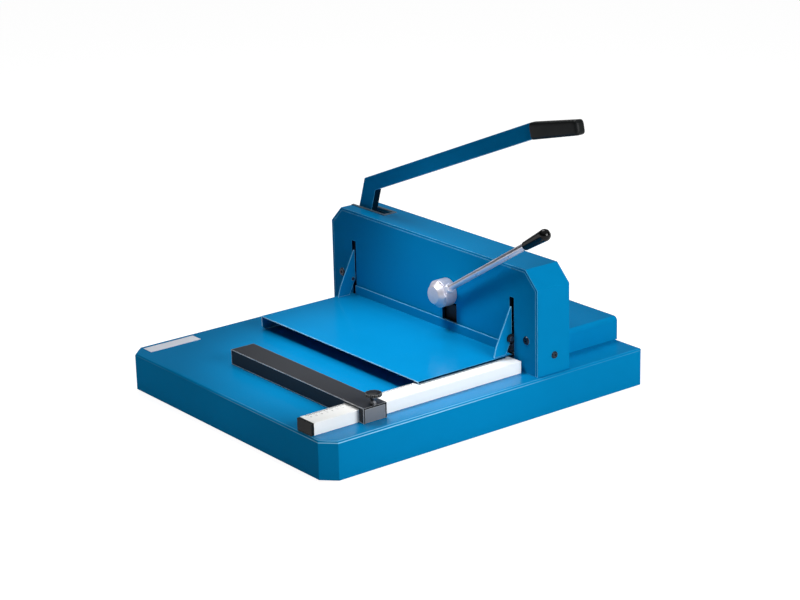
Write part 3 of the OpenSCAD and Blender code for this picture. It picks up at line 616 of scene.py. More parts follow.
def rounded(points: Profile, radius: float, steps: int = 5) -> np.ndarray:
    """Rounds a profile's corners.

    Each inner corner P becomes the quadratic curve (1-t)^2 A + 2t(1-t) P + t^2 B, with A and B the
    points at the radius before and after it, or at 45% of a shorter side.

    Args:
        points: the profile's corners, first and last kept.
        radius: distance from a corner at which the curve starts.
        steps: points on each curve.

    Returns:
        The rounded profile as rows of two numbers.
    """
    p = np.array(points, dtype=float)
    before, after = p[:-2] - p[1:-1], p[2:] - p[1:-1]
    size_a = np.linalg.norm(before, axis=1, keepdims=True)
    size_b = np.linalg.norm(after, axis=1, keepdims=True)
    a = p[1:-1] + before / size_a * np.minimum(radius, 0.45 * size_a)
    b = p[1:-1] + after / size_b * np.minimum(radius, 0.45 * size_b)
    t = np.linspace(0.0, 1.0, steps)[None, :, None]
    curve = (1 - t) ** 2 * a[:, None] + 2 * t * (1 - t) * p[1:-1, None] + t ** 2 * b[:, None]
    return np.vstack([p[:1], curve.reshape(-1, 2), p[-1:]])


def polygon_radius(steps: int, sides: int, corner: float, turn: float, sharp: float) -> np.ndarray:
    """Radius of a polygon with soft corners.

    The radius is the flats' distance over the p-norm of the cosines to every flat, where a flat that
    looks away counts as zero; a larger p gives crisper corners.

    Args:
        steps: how many even angles it is worked out at.
        sides: how many flats.
        corner: distance of a sharp corner from the axis.
        turn: angle of the first flat, in radians.
        sharp: the p of the norm.

    Returns:
        The radius at each angle.
    """
    off = circle(steps)[:, None] - (turn + circle(sides))[None, :]
    near = np.clip(np.cos(off), 0.0, None)
    return corner * math.cos(math.pi / sides) / np.sum(near ** sharp, axis=1) ** (1.0 / sharp)


def soft_least(line: np.ndarray, flat: np.ndarray, sharp: float) -> np.ndarray:
    """Lesser of each ring's radius a and each angle's radius b, softly: (a^-p + b^-p)^(-1/p)."""
    a = np.maximum(line, LEAST_R)[:, None]
    return (a ** -sharp + flat[None, :] ** -sharp) ** (-1.0 / sharp)


def round_off(depth: np.ndarray, radius: float) -> np.ndarray:
    """What a quarter circle of radius R takes off at a depth d into it: R - sqrt(R^2 - d^2)."""
    return radius - np.sqrt(radius ** 2 - np.clip(depth, 0.0, radius) ** 2)


def squared(wave: np.ndarray, power: float) -> np.ndarray:
    """Draws a cosine or a sine toward a square of some power n: its sign times its size to 2/n."""
    return np.sign(wave) * np.abs(wave) ** (2 / power)


def ring_faces(rows: int, cols: int) -> np.ndarray:
    """Quads between neighbouring closed rings.

    Args:
        rows: number of rings.
        cols: points on each ring.

    Returns:
        Corner numbers, four to a face.
    """
    i, j = np.meshgrid(np.arange(rows - 1), np.arange(cols), indexing="ij")
    k = (j + 1) % cols
    corners = [i * cols + j, i * cols + k, (i + 1) * cols + k, (i + 1) * cols + j]
    return np.stack(corners, -1).reshape(-1, 4)


def show(name: str, data: bpy.types.ID) -> bpy.types.Object:
    """Puts a mesh, text, lamp or camera into the scene.

    Args:
        name: the object's name.
        data: what the object shows.

    Returns:
        The object, at the origin.
    """
    made = bpy.data.objects.new(name, data)
    bpy.context.scene.collection.objects.link(made)
    return made


def into_object(name: str, points: np.ndarray, faces: np.ndarray, crease: float = CREASE_DEG,
                ) -> bpy.types.Object:
    """Makes a closed, outward, smooth object from points and faces.

    Args:
        name: the object's name.
        points: an array whose last side is three numbers, in millimetres.
        faces: corner numbers of each face.
        crease: angle in degrees above which an edge stays sharp.

    Returns:
        The object, at the origin.
    """
    mesh = bpy.data.meshes.new(name)
    mesh.from_pydata((points.reshape(-1, 3) * MM).tolist(), [], faces.tolist())
    bm = bmesh.new()
    bm.from_mesh(mesh)
    bmesh.ops.remove_doubles(bm, verts=bm.verts, dist=WELD * MM)
    bmesh.ops.dissolve_degenerate(bm, dist=SLIVER * MM, edges=bm.edges)
    bmesh.ops.recalc_face_normals(bm, faces=bm.faces)
    bm.to_mesh(mesh)
    bm.free()
    mesh.shade_smooth()
    mesh.set_sharp_from_angle(angle=math.radians(crease))
    return show(name, mesh)


def turned(name: str, along: np.ndarray, radius: np.ndarray, origin: Point, axis: Point,
           start: Point, crease: float = CREASE_DEG) -> bpy.types.Object:
    """Turns a profile round an axis, closed at both ends.

    Each point is origin + along axis + radius (cos start + sin side), with side square to both.

    Args:
        name: the object's name.
        along: distance along the axis of each ring, in millimetres.
        radius: one radius for each ring, or one for each ring and angle.
        origin: where the axis starts, in millimetres.
        axis: direction of the axis, of length one.
        start: direction of angle zero, of length one and square to the axis.
        crease: angle in degrees above which an edge stays sharp.

    Returns:
        The object.
    """
    r = radius.copy() if radius.ndim == 2 else np.repeat(radius[:, None], ROUND_STEPS, axis=1)
    r[[0, -1]] = 0.0
    angle = circle(r.shape[1])[:, None]
    a, e = np.array(axis), np.array(start)
    round_axis = np.cos(angle) * e + np.sin(angle) * np.cross(a, e)
    points = np.array(origin) + along[:, None, None] * a + r[:, :, None] * round_axis[None]
    return into_object(name, points, ring_faces(*r.shape), crease)


class Assembly:
    """What every sub-assembly shares: rounding CAD edges, placing pieces and finishing CAD nodes."""

    def dress(self, finishes: dict[str, Finish]) -> None:
        """Gives CAD nodes that stay their finish.

        Args:
            finishes: finish by node name.
        """
        for node, finish in finishes.items():
            shown = frame["nodes"][node]
            if not shown.material_slots:
                shown.data.materials.append(None)
            for slot in shown.material_slots:
                slot.material = finish.material()

    def place(self, piece: bpy.types.Object, body: str, finish: Finish, *nodes: str) -> bpy.types.Object:
        """Dresses a new piece, seats it on its body and hides the nodes that it stands for.

        Args:
            piece: the new piece.
            body: the CAD body it rides on.
            finish: its finish.
            nodes: CAD nodes that it replaces.

        Returns:
            The piece.
        """
        piece.data.materials.clear()
        piece.data.materials.append(finish.material())
        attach(piece, body)
        if nodes:
            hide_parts(*nodes)
        LOG.info("%s rides on %s in %s", piece.name, body, finish.slot)
        return piece

    def edged(self, node: str, finish: Finish, width: float, segments: int = 3, weld: float = WELD,
              ) -> bpy.types.Object:
        """Copies a CAD node, merges it and rounds its sharp edges.

        Args:
            node: the CAD node.
            finish: its finish.
            width: width of the rounding in millimetres.
            segments: faces across the rounding.
            weld: points nearer than this, in millimetres, become one.

        Returns:
            The piece that stands for the node.
        """
        source = frame["nodes"][node]
        mesh = bpy.data.meshes.new(node + "_edged")
        bm = bmesh.new()
        bm.from_mesh(source.data)
        bmesh.ops.remove_doubles(bm, verts=bm.verts, dist=weld * MM)
        bmesh.ops.dissolve_limit(bm, angle_limit=math.radians(FLAT_DEG), verts=bm.verts, edges=bm.edges)
        bm.to_mesh(mesh)
        bm.free()
        mesh.shade_smooth()
        piece = show(node + "_edged", mesh)
        bevel = piece.modifiers.new("edge", "BEVEL")
        bevel.width = width * MM
        bevel.segments = segments
        bevel.limit_method = "ANGLE"
        bevel.angle_limit = math.radians(EDGE_DEG)
        bevel.use_clamp_overlap = True
        even = piece.modifiers.new("even", "WEIGHTED_NORMAL")
        even.weight = 80
        even.keep_sharp = True
        return self.place(piece, body_of(source)[0], finish, node)

    @staticmethod
    def facing(piece: bpy.types.Object, finish: Finish, pick: Pick) -> None:
        """Gives some faces of a piece their own finish.

        Args:
            piece: the piece.
            finish: the finish of the chosen faces.
            pick: chooses faces from their normals and their middles in millimetres.
        """
        faces = piece.data.polygons
        normal, middle = np.empty(3 * len(faces)), np.empty(3 * len(faces))
        faces.foreach_get("normal", normal)
        faces.foreach_get("center", middle)
        index = np.empty(len(faces), dtype=np.int32)
        faces.foreach_get("material_index", index)
        index[pick(normal.reshape(-1, 3), middle.reshape(-1, 3) / MM)] = len(piece.data.materials)
        piece.data.materials.append(finish.material())
        faces.foreach_set("material_index", index)


@dataclass
class Base(Assembly):
    """The folded tray with its floor, feet, plate and the beam under the gate; edges in millimetres."""

    tray_edge: float = 0.5
    tray_weld: float = 0.08
    plate_edge: float = 0.25
    foot_edge: float = 0.8

    def build(self) -> None:
        """Rounds the tray's edges and dresses what it carries."""
        self.edged("base_tray", FOLDED_BLUE, self.tray_edge, 2, weld=self.tray_weld)
        self.edged("blank_plate", PLATE_ALUMINIUM, self.plate_edge, 2)
        self.edged("feet", FOOT_RUBBER, self.foot_edge, 2)
        self.dress({"base_floor": GREY, "bed_beam": PAINTED_SHADE_STEEL, "cutting_stick": WHITE_PLASTIC,
                    "gate_bolts": GROUND_STEEL})


@dataclass
class Gate(Assembly):
    """The gate: plates, cover strip, slot trim, screws and what guides the knife; sizes in millimetres."""

    plate_edge: float = 0.9
    cover_edge: float = 1.0
    trim_edge: float = 0.4
    head_edge: float = 0.5
    inner: tuple[float, float] = (225.0, 200.0)

    def in_opening(self, normal: np.ndarray, middle: np.ndarray) -> np.ndarray:
        """Chooses the walls that look along the gate inside the openings of a plate, which get painted shade.
        """
        inside = (np.abs(middle[:, 0]) < self.inner[0]) & (middle[:, 2] < self.inner[1])
        return (np.abs(normal[:, 0]) > SQUARE) & inside

    def build(self) -> None:
        """Rounds the sheet edges and the screw heads, paints shade on the walls inside the front plate's
        openings and dresses the inside.
        """
        front = self.edged("gate_front_plate", SHEET_BLUE, self.plate_edge)
        self.facing(front, PAINTED_SHADE_BLUE, self.in_opening)
        self.edged("gate_rear_plate", BLUE, self.plate_edge)
        self.edged("gate_cover", COVER_BLUE, self.cover_edge)
        self.edged("slot_trim", TRIM_PLASTIC, self.trim_edge, 2)
        self.edged("plate_screws", DARK_SCREW, self.head_edge)
        self.edged("end_bolts", DARK_SCREW, self.head_edge)
        self.dress({"gate_columns": PAINTED_SHADE_STEEL, "pivot_block": PAINTED_SHADE_STEEL, "shaft_ring": PAINTED_SHADE_STEEL,
                    "lever_shaft": GROUND_STEEL, "guide_strips": BRONZE, "rod_guides": BRONZE,
                    "clamp_bush": BRONZE, "carrier_rollers": GROUND_STEEL})


@dataclass
class Knife(Assembly):
    """The blade on its carrier; edge in millimetres."""

    edge: float = 0.6

    def build(self) -> None:
        """Rounds the carrier and dresses the blade."""
        self.edged("blade_carrier", PAINTED_SHADE_STEEL, self.edge, 2)
        self.dress({"blade": BLADE_STEEL, "blade_screws": DARK_SCREW})


@dataclass
class CuttingLever(Assembly):
    """The flat bar with its elbow and the grip at its end; sizes in millimetres, slopes in degrees.

    Each row of side has a distance along the grip, and the heights of its lower and upper lines there.
    """

    pivot: tuple[float, float] = (-232.0, 186.0)
    lean: float = 18.0
    foot_half: float = 18.5
    elbow: float = 110.5
    arm_rise: float = 22.0
    arm: float = 477.0
    arm_half: float = 13.25
    bar_edge: float = 1.1
    # how far from the pivot the painted shade on the upright reaches
    shaded: float = 90.0
    grip_rise: float = 13.0
    grip_mid: float = 138.0
    grip_half: float = 10.0
    grip_power: float = 4.6
    mouth: float = 1.6
    corner: float = 6.5
    side: tuple[Point, ...] = ((-5.5, -15.3, 12.9), (102.5, -13.3, 11.1), (106.5, -12.9, 10.9))

    def arm_end(self) -> np.ndarray:
        """Middle of the arm's end: up the leaning upright, then along the rising arm.

        Returns:
            The point in the plane of the gate, in millimetres.
        """
        lean, rise = math.radians(self.lean), math.radians(self.arm_rise)
        up = np.array([math.sin(lean), math.cos(lean)])
        across = np.array([math.cos(lean), -math.sin(lean)])
        along = np.array([math.cos(rise), math.sin(rise)])
        down = np.array([math.sin(rise), -math.cos(rise)])
        return (np.array(self.pivot) - across * self.foot_half + up * self.elbow
                + along * self.arm + down * self.arm_half)

    def grip(self) -> bpy.types.Object:
        """The grip: a squarish section carried along its line, drawn in at both ends.

        At distance u the section is the superellipse |y/a|^n + |v/b|^n = 1 about the middle of the
        lower and upper lines; near an end both half sizes lose what a quarter circle takes off.

        Returns:
            The grip's object.
        """
        first, last = self.side[0][0], self.side[-1][0]
        opening = first + self.mouth * (1 - np.cos(np.linspace(0, np.pi / 2, 6)))
        closing = last - self.corner * (1 - np.sin(np.linspace(0, np.pi / 2, 10)))
        u = np.concatenate([[first], opening, np.linspace(first + 4, last - 8, 18), closing, [last]])
        place, lower, upper = np.array(self.side).T
        low, high = np.interp(u, place, lower), np.interp(u, place, upper)
        loss = round_off(u - last + self.corner, self.corner) + round_off(first + self.mouth - u, self.mouth)
        half_y, half_v = self.grip_half - loss, (high - low) / 2 - loss
        half_y[[0, -1]] = half_v[[0, -1]] = 0.0
        angle = circle(64)
        y = self.grip_mid + half_y[:, None] * squared(np.cos(angle), self.grip_power)
        v = ((low + high) / 2)[:, None] + half_v[:, None] * squared(np.sin(angle), self.grip_power)
        rise = math.radians(self.grip_rise)
        end = self.arm_end()
        x = end[0] + u[:, None] * math.cos(rise) - v * math.sin(rise)
        z = end[1] + u[:, None] * math.sin(rise) + v * math.cos(rise)
        return into_object("lever_sleeve", np.stack([x, y, z], -1), ring_faces(*x.shape), 50.0)

    def under_arm(self, normal: np.ndarray, middle: np.ndarray) -> np.ndarray:
        """Chooses the upright's face under the arm, which gets painted shade."""
        near = middle[:, 0] < self.pivot[0] + self.shaded
        return (normal[:, 0] > 0.8) & (normal[:, 2] < -0.2) & near

    def build(self) -> None:
        """Rounds the bar's edges, paints shade on the upright under the arm and sets the grip on its end."""
        self.facing(self.edged("lever_bar", BLUE, self.bar_edge), PAINTED_SHADE_BLUE, self.under_arm)
        self.place(self.grip(), "cutting_lever", BLACK_PLASTIC, "lever_grip")
        self.dress({"lever_bush": BRONZE, "crank_pin": GROUND_STEEL})


@dataclass
class Clamp(Assembly):
    """The clamp beam and the lever that works it.

    Sizes are in millimetres, and each row of a line has a distance along its axis and a radius there.
    """

    hub: tuple[float, float] = (50.5, 160.0)
    hub_back: float = 100.3
    hub_line: Profile = ((0.0, 0.0), (0.0, 23.5), (22.0, 23.5), (22.4, 22.56), (32.5, 14.57), (32.5, 0.0))
    nose_from: float = 22.3
    nose_line: Profile = ((22.6, 22.4425), (31.5, 15.4442))
    nose_corner: float = 22.325
    rod_y: float = 85.3
    rise: float = 31.3
    nut_corner: float = 8.5
    nut_line: Profile = ((20.0, 0.0), (20.0, 8.5), (29.1, 8.5), (30.5, 7.14), (30.5, 0.0))
    rod_line: Profile = ((27.0, 0.0), (27.0, 5.4), (140.0, 5.7), (253.0, 6.0), (253.0, 0.0))
    grip: tuple[float, float] = (251.0, 314.0)
    grip_r: tuple[float, float] = (7.5, 10.0)
    collar: float = 0.9
    bar_edge: float = 0.8
    pad_edge: float = 0.3

    def on_rod(self, name: str, along: np.ndarray, radius: np.ndarray, crease: float = CREASE_DEG,
               ) -> bpy.types.Object:
        """Turns a profile round the rod, which rises to the right from the hub's axis.

        Args:
            name: the object's name.
            along: distance of each ring from the hub's axis.
            radius: one radius for each ring, or one for each ring and angle.
            crease: angle in degrees above which an edge stays sharp.

        Returns:
            The object.
        """
        rise = math.radians(self.rise)
        origin = (self.hub[0], self.rod_y, self.hub[1])
        return turned(name, along, radius, origin, (math.cos(rise), 0.0, math.sin(rise)), FRONT, crease)

    def hub_piece(self) -> bpy.types.Object:
        """The hub: a round body and a nose that is the lesser of a cone and eight flats.

        Returns:
            The hub's object.
        """
        line = rounded(self.hub_line, 0.9)
        start, end = np.array(self.nose_line)
        between = start + (end - start) * np.linspace(0, 1, 9)[1:-1, None]
        inner = np.vstack([line[1:-1], between])
        line = np.vstack([line[:1], inner[np.argsort(inner[:, 0], kind="stable")], line[-1:]])
        flat = polygon_radius(128, 8, self.nose_corner, math.pi / 8, 180.0)
        on_nose = line[:, :1] > self.nose_from
        radius = np.where(on_nose, soft_least(line[:, 1], flat, 120.0), line[:, 1:])
        origin = (self.hub[0], self.hub_back, self.hub[1])
        return turned("hub_casting", line[:, 0], radius, origin, FRONT, RIGHT, 24.0)

    def nut_piece(self) -> bpy.types.Object:
        """The lock nut: the lesser of six flats and a cone that takes its outer corners off.

        Returns:
            The nut's object.
        """
        line = rounded(self.nut_line, 0.35, 4)
        flat = polygon_radius(96, 6, self.nut_corner, 0.0, 90.0)
        return self.on_rod("rod_lock_nut", line[:, 0], soft_least(line[:, 1], flat, 60.0), 25.0)

    def rod_piece(self) -> bpy.types.Object:
        """The rod: a slim cone from the nut into the grip."""
        line = rounded(self.rod_line, 0.3, 3)
        return self.on_rod("tapered_rod", line[:, 0], line[:, 1])

    def grip_piece(self) -> bpy.types.Object:
        """The grip: a cone that swells from its collar and ends in a ball.

        Returns:
            The grip's object.
        """
        small, large = self.grip_r
        first, ball = self.grip[0] + self.collar, self.grip[1] - large
        turn = np.linspace(0, np.pi / 2, 16)[1:]
        cone = np.stack([np.linspace(first, ball, 18), np.linspace(small, large, 18)], -1)
        end = np.stack([ball + large * np.sin(turn), large * np.cos(turn)], -1)
        mouth = rounded(((self.grip[0], 0.0), (self.grip[0], small), (first, small)), 0.7)[:-1]
        line = np.vstack([mouth, cone, end])
        return self.on_rod("ball_grip", line[:, 0], line[:, 1], 60.0)

    def build(self) -> None:
        """Places the lever's pieces and dresses the beam."""
        self.place(self.hub_piece(), "clamp_lever", CAST_ALUMINIUM, "clamp_hub")
        self.place(self.nut_piece(), "clamp_lever", NUT_CHROME, "rod_nut")
        self.place(self.rod_piece(), "clamp_lever", CHROME, "clamp_rod")
        self.place(self.grip_piece(), "clamp_lever", GLOSS_BLACK, "clamp_grip")
        self.edged("clamp_bar", PAINTED_SHADE_ALUMINIUM, self.bar_edge)
        self.edged("clamp_pad", FOOT_RUBBER, self.pad_edge, 2)
        self.dress({"clamp_rack": PAINTED_SHADE_STEEL, "clamp_rods": GROUND_STEEL, "clamp_shaft": GROUND_STEEL,
                    "clamp_pinion": PAINTED_SHADE_STEEL})


@dataclass
class Guard(Assembly):
    """The hinged guard with its wings, pins and lugs; edges in millimetres."""

    plate_edge: float = 0.8
    wing_edge: float = 0.6
    pin_edge: float = 0.4

    def build(self) -> None:
        """Rounds the sheet's edges and folds, paints shade on the right lip and a highlight on the front
        edge.
        """
        plate = self.edged("guard_plate", BLUE, self.plate_edge)
        self.facing(plate, PAINTED_SHADE_BLUE, self.on_lip)
        self.facing(plate, PAINTED_HIGHLIGHT_BLUE, self.on_front_edge)
        self.edged("guard_wings", BLUE, self.wing_edge)
        self.edged("guard_pins", PIN_CHROME, self.pin_edge, 2)
        self.dress({"guard_lugs": PAINTED_SHADE_STEEL})

    @staticmethod
    def on_lip(normal: np.ndarray, middle: np.ndarray) -> np.ndarray:
        """Chooses the outer face of the lip along the guard's right edge, which gets painted shade."""
        return (normal[:, 0] > SQUARE) & (middle[:, 0] > 0.0)

    @staticmethod
    def on_front_edge(normal: np.ndarray, middle: np.ndarray) -> np.ndarray:
        """Chooses the thin front edge of the guard, which gets a pale painted highlight."""
        return (normal[:, 1] < -SQUARE) & (middle[:, 1] < 0.0)


@dataclass
class Fence(Assembly):
    """The ruler with its scale, and the stop bar with its knob.

    Sizes are in millimetres, and each row of a line has a height above its foot and a radius there.
    """

    bar_edge: float = 0.8
    ruler_cap_edge: float = 1.0
    stop_cap_edge: float = 0.5
    scale_from: float = 96.0
    scale_len: int = 405
    top: float = 88.0
    tick_x: float = 204.4
    tick_len: tuple[float, float, float] = (3.5, 5.5, 7.5)
    tick_half: float = 0.25
    tick_up: float = 0.05
    tick_sunk: float = 0.01
    numeral_size: float = 4.2
    numeral_gap: float = 9.0
    knob: tuple[float, float] = (247.9, -208.75)
    knob_r: float = 13.5
    head_foot: float = 107.4
    head_line: Profile = ((0.0, 0.0), (0.0, 13.2), (5.3, 13.5), (5.0, 8.37), (5.5, 6.75), (5.5, 0.0))
    rim_from: float = 0.75
    lobes: int = 12
    scallop: float = 1.3
    stem_foot: float = 94.4
    stem_line: Profile = ((0.0, 0.0), (0.0, 5.4), (1.6, 5.4), (2.4, 4.0), (6.1, 4.0), (8.1, 5.6),
                          (13.4, 7.6), (13.6, 0.0))

    def ticks(self) -> bpy.types.Object:
        """The scale: a thin box for each millimetre, longer at fives and tens.

        Returns:
            The scale's object.
        """
        n = np.arange(1, self.scale_len)
        one, five, ten = self.tick_len
        reach = np.where(n % 10 == 0, ten, np.where(n % 5 == 0, five, one))
        same = np.ones(n.shape)
        size = np.stack([reach, self.tick_half * same, self.tick_up * same], -1)
        foot = np.stack([self.tick_x * same, self.scale_from - n, (self.top - self.tick_sunk) * same], -1)
        unit = np.array([[0, -1, 0], [1, -1, 0], [1, 1, 0], [0, 1, 0],
                         [0, -1, 1], [1, -1, 1], [1, 1, 1], [0, 1, 1]], dtype=float)
        box = np.array([[0, 3, 2, 1], [4, 5, 6, 7], [0, 1, 5, 4], [1, 2, 6, 5], [2, 3, 7, 6], [3, 0, 4, 7]])
        faces = box[None] + len(unit) * np.arange(len(n))[:, None, None]
        points = foot[:, None] + unit[None] * size[:, None]
        return into_object("scale_ticks", points, faces.reshape(-1, 4), 20.0)

    def numerals(self) -> bpy.types.Object:
        """Plain numbers at each centimetre, one flat mesh.

        Returns:
            The numbers' object.
        """
        points, faces, count = [], [], 0
        for number in range(1, self.scale_len // 10 + 1):
            curve = bpy.data.curves.new("numeral", "FONT")
            curve.body = str(number)
            curve.size = self.numeral_size * MM
            curve.align_x = "LEFT"
            curve.align_y = "CENTER"
            curve.resolution_u = 2
            text = show("numeral", curve)
            seen = text.evaluated_get(bpy.context.evaluated_depsgraph_get())
            flat = bpy.data.meshes.new_from_object(seen)
            co = np.empty(3 * len(flat.vertices))
            flat.vertices.foreach_get("co", co)
            place = (self.tick_x + self.numeral_gap, self.scale_from - 10 * number, self.top + self.tick_up)
            points.append(co.reshape(-1, 3) / MM + np.array(place))
            flat.calc_loop_triangles()
            corners = np.empty(3 * len(flat.loop_triangles), dtype=np.int32)
            flat.loop_triangles.foreach_get("vertices", corners)
            faces.append(corners.reshape(-1, 3) + count)
            count += len(flat.vertices)
            bpy.data.objects.remove(text)
            bpy.data.curves.remove(curve)
            bpy.data.meshes.remove(flat)
        mesh = bpy.data.meshes.new("scale_numerals")
        mesh.from_pydata((np.vstack(points) * MM).tolist(), [], np.vstack(faces).tolist())
        return show("scale_numerals", mesh)

    def knob_head(self) -> bpy.types.Object:
        """The knob: a flat round head whose rim dips by a raised cosine at each lobe.

        Returns:
            The head's object.
        """
        line = rounded(self.head_line, 1.3, 6)
        dip = self.scallop * np.clip(np.cos(self.lobes * circle(192)), 0.0, None) ** 1.2
        rim = np.clip((line[:, 1:] / self.knob_r - self.rim_from) / (1 - self.rim_from), 0.0, 1.0)
        radius = line[:, 1:] - rim * dip[None, :]
        return turned("knob_head", line[:, 0], radius, (*self.knob, self.head_foot), UP, RIGHT, 40.0)

    def knob_stem(self) -> bpy.types.Object:
        """The knob's stem: a pin with a wider collar at its foot and a flare under the head."""
        line = rounded(self.stem_line, 0.6, 4)
        return turned("knob_stem", line[:, 0], line[:, 1], (*self.knob, self.stem_foot), UP, RIGHT)

    @staticmethod
    def on_ends(normal: np.ndarray, middle: np.ndarray) -> np.ndarray:
        """Chooses the faces of the stop bar that look along the gate."""
        return np.abs(normal[:, 0]) > SQUARE

    def build(self) -> None:
        """Rounds the bars, lays the scale on the ruler and sets the knob on the stop."""
        self.edged("ruler_bar", RULER_WHITE, self.bar_edge)
        self.edged("ruler_cap", BLACK_PLASTIC, self.ruler_cap_edge)
        self.place(self.ticks(), "frame", TICK_INK)
        self.place(self.numerals(), "frame", TICK_INK)
        self.facing(self.edged("stop_bar", BLACK, self.bar_edge), BLACK_END, self.on_ends)
        self.edged("stop_caps", GREY_PLASTIC, self.stop_cap_edge)
        self.place(self.knob_head(), "knob", KNOB_BLACK, "lock_knob")
        self.place(self.knob_stem(), "knob", STEM_STEEL, "lock_knob")
        self.dress({"stop_shoe": WHITE_PLASTIC, "stop_block": PAINTED_SHADE_STEEL, "ruler_screws": GROUND_STEEL})


@dataclass
class RearHood(Assembly):
    """The folded hood behind the gate; edges in millimetres."""

    sheet_edge: float = 0.7
    head_edge: float = 0.4

    def build(self) -> None:
        """Rounds the hood's sheet edges and its screw heads."""
        self.edged("rear_hood", HOOD_BLUE, self.sheet_edge)
        self.edged("hood_screws", DARK_SCREW, self.head_edge, 2)


class LampKind(Enum):
    """Kinds of lamp: a softbox, or a soft pool of light with an even middle."""

    SOFTBOX = "AREA"
    POOL = "SPOT"


@dataclass(frozen=True)
class Lamp:
    """One soft lamp: its place, its aim, its two sides in metres, its watts and its beam in degrees."""

    name: str
    place: Point
    aim: Point
    size: tuple[float, float]
    watts: float
    spread: float = 180.0
    kind: LampKind = LampKind.SOFTBOX


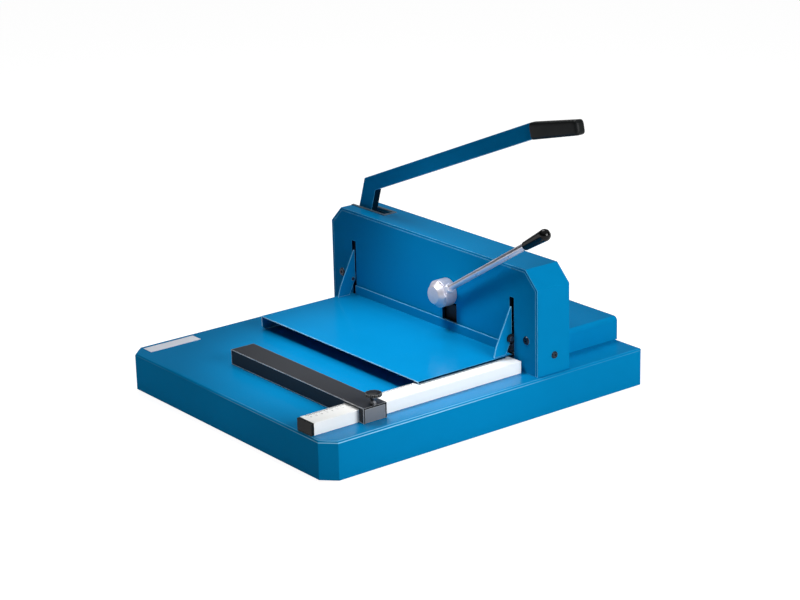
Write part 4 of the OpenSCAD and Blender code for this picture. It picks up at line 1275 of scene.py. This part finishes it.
@dataclass
class Studio:
    """Floor, sky, lamps and the camera at the photograph's angle; angles in degrees, lengths in metres."""

    azimuth: float = 52.42
    elevation: float = 18.284
    roll: float = -1.364
    distance: float = 3.68833
    target: Point = (0.01857, 0.02322, 0.15369)
    lens: float = 100.0
    floor_half: float = 14.0
    floor_pale: float = 0.55
    floor_seen: float = 0.30
    floor_glow: float = 0.95
    ambient: float = 0.084
    horizon: float = 0.08
    ceiling: tuple[float, float] = (0.42, 0.85)
    low_sky: float = 0.05
    high_sky: float = 0.65
    pool_edge: float = 0.6
    lamps: tuple[Lamp, ...] = (
        Lamp("over_table", (-0.03, -0.21, 0.75), (0.045, -0.045, 0.09), (0.19, 0.19), 18.3, 50.0,
             LampKind.POOL),
        Lamp("right_side", (1.55, 0.14, 0.75), (0.26, 0.0, 0.10), (0.8, 0.7), 19.9),
        Lamp("low_front", (-0.15, -0.80, 0.06), (-0.1, -0.325, 0.03), (0.8, 0.08), 0.26, 120.0),
        Lamp("back_top", (-0.65, 0.30, 1.9), (-0.15, -0.1, 0.1), (0.9, 0.9), 18.8),
        Lamp("low_back", (-0.2, 1.9, 0.45), (0.0, 0.2, 0.12), (0.8, 0.4), 6.0))

    def camera(self) -> None:
        """Sets the camera on its bearing, looking at the target and rolled."""
        az, el, roll = (math.radians(v) for v in (self.azimuth, self.elevation, self.roll))
        back = Vector((math.sin(az) * math.cos(el), -math.cos(az) * math.cos(el), math.sin(el)))
        right = Vector((math.cos(az), math.sin(az), 0.0))
        up = back.cross(right)
        across = right * math.cos(roll) + up * math.sin(roll)
        upward = up * math.cos(roll) - right * math.sin(roll)
        data = bpy.data.cameras.new("camera")
        data.lens = self.lens
        data.sensor_width = 36.0
        data.clip_end = 60.0
        made = show("camera", data)
        turn = Matrix((across, upward, back)).transposed().to_4x4()
        made.matrix_world = Matrix.Translation(Vector(self.target) + back * self.distance) @ turn
        bpy.context.scene.camera = made

    def floor(self) -> None:
        """Lays a wide pale floor: white to the eye and to gloss, pale to light, and it keeps a shadow."""
        corners = np.array([[-1, -1, 0], [1, -1, 0], [1, 1, 0], [-1, 1, 0]], dtype=float)
        made = into_object("floor", corners * self.floor_half / MM, np.array([[0, 1, 2, 3]]))
        paper = bpy.data.materials.new("floor_paper")
        t = Tree.fresh(paper)
        ray = t.add("LightPath").outputs
        mirrored = t.math("MAXIMUM", ray["Is Glossy Ray"], ray["Is Transmission Ray"])
        seen = t.math("MAXIMUM", ray["Is Camera Ray"], mirrored)
        pale = t.add("BsdfDiffuse", {"Color": (self.floor_pale,) * 3}).outputs[0]
        thin = t.add("BsdfDiffuse", {"Color": (self.floor_seen,) * 3}).outputs[0]
        glow = t.add("Emission", {"Color": WHITE, "Strength": self.floor_glow}).outputs[0]
        both = t.add("AddShader", {0: thin, 1: glow}).outputs[0]
        t.add("OutputMaterial", {"Surface": t.choose(seen, pale, both)})
        made.data.materials.append(paper)

    def sky(self) -> None:
        """Makes the world white to the eye, an even light, and in gloss a studio of three heights.

        Gloss sees white low down, dim walls above that and a pale ceiling.
        """
        world = bpy.data.worlds.new("studio")
        bpy.context.scene.world = world
        t = Tree.fresh(world)
        ray = t.add("LightPath").outputs
        way = t.add("TexCoord").outputs["Generated"]
        height = t.add("SeparateXYZ", {0: way}).outputs["Z"]
        low = t.spread(height, 0.0, self.horizon, 1.0, 0.0)
        above = t.mix(t.spread(height, *self.ceiling), (self.low_sky,) * 3, (self.high_sky,) * 3)
        gloss = t.add("Background", {"Color": t.mix(low, above, WHITE)}).outputs[0]
        even = t.add("Background", {"Color": WHITE, "Strength": self.ambient}).outputs[0]
        white = t.add("Background", {"Color": WHITE, "Strength": 1.0}).outputs[0]
        lit = t.choose(ray["Is Glossy Ray"], even, gloss)
        seen = t.math("MAXIMUM", ray["Is Camera Ray"], ray["Is Transmission Ray"])
        t.add("OutputWorld", {"Surface": t.choose(seen, lit, white)})

    def light(self) -> None:
        """Hangs the lamps, none of them seen by the camera itself."""
        for lamp in self.lamps:
            data = bpy.data.lights.new(lamp.name, lamp.kind.value)
            data.energy = lamp.watts
            if lamp.kind is LampKind.POOL:
                data.spot_size = math.radians(lamp.spread)
                data.spot_blend = self.pool_edge
                data.shadow_soft_size = sum(lamp.size) / 4
            else:
                data.shape = "RECTANGLE"
                data.size, data.size_y = lamp.size
                data.spread = math.radians(lamp.spread)
            made = show(lamp.name, data)
            look = (Vector(lamp.aim) - Vector(lamp.place)).to_track_quat("-Z", "Y")
            made.matrix_world = Matrix.Translation(lamp.place) @ look.to_matrix().to_4x4()
            made.visible_camera = False

    def build(self) -> None:
        """Sets camera, floor, sky and lamps, and the plain view transform."""
        self.camera()
        self.floor()
        self.sky()
        self.light()
        bpy.context.scene.view_settings.view_transform = "Standard"


def main() -> None:
    """Builds the sub-assemblies in order, then the studio round them."""
    logging.basicConfig(level=logging.INFO, format="%(name)s: %(message)s")
    for part in (Base(), Gate(), Knife(), CuttingLever(), Clamp(), Guard(), Fence(), RearHood()):
        LOG.info("building %s", type(part).__name__)
        part.build()
    Studio().build()


if __name__ == "__main__":
    main()
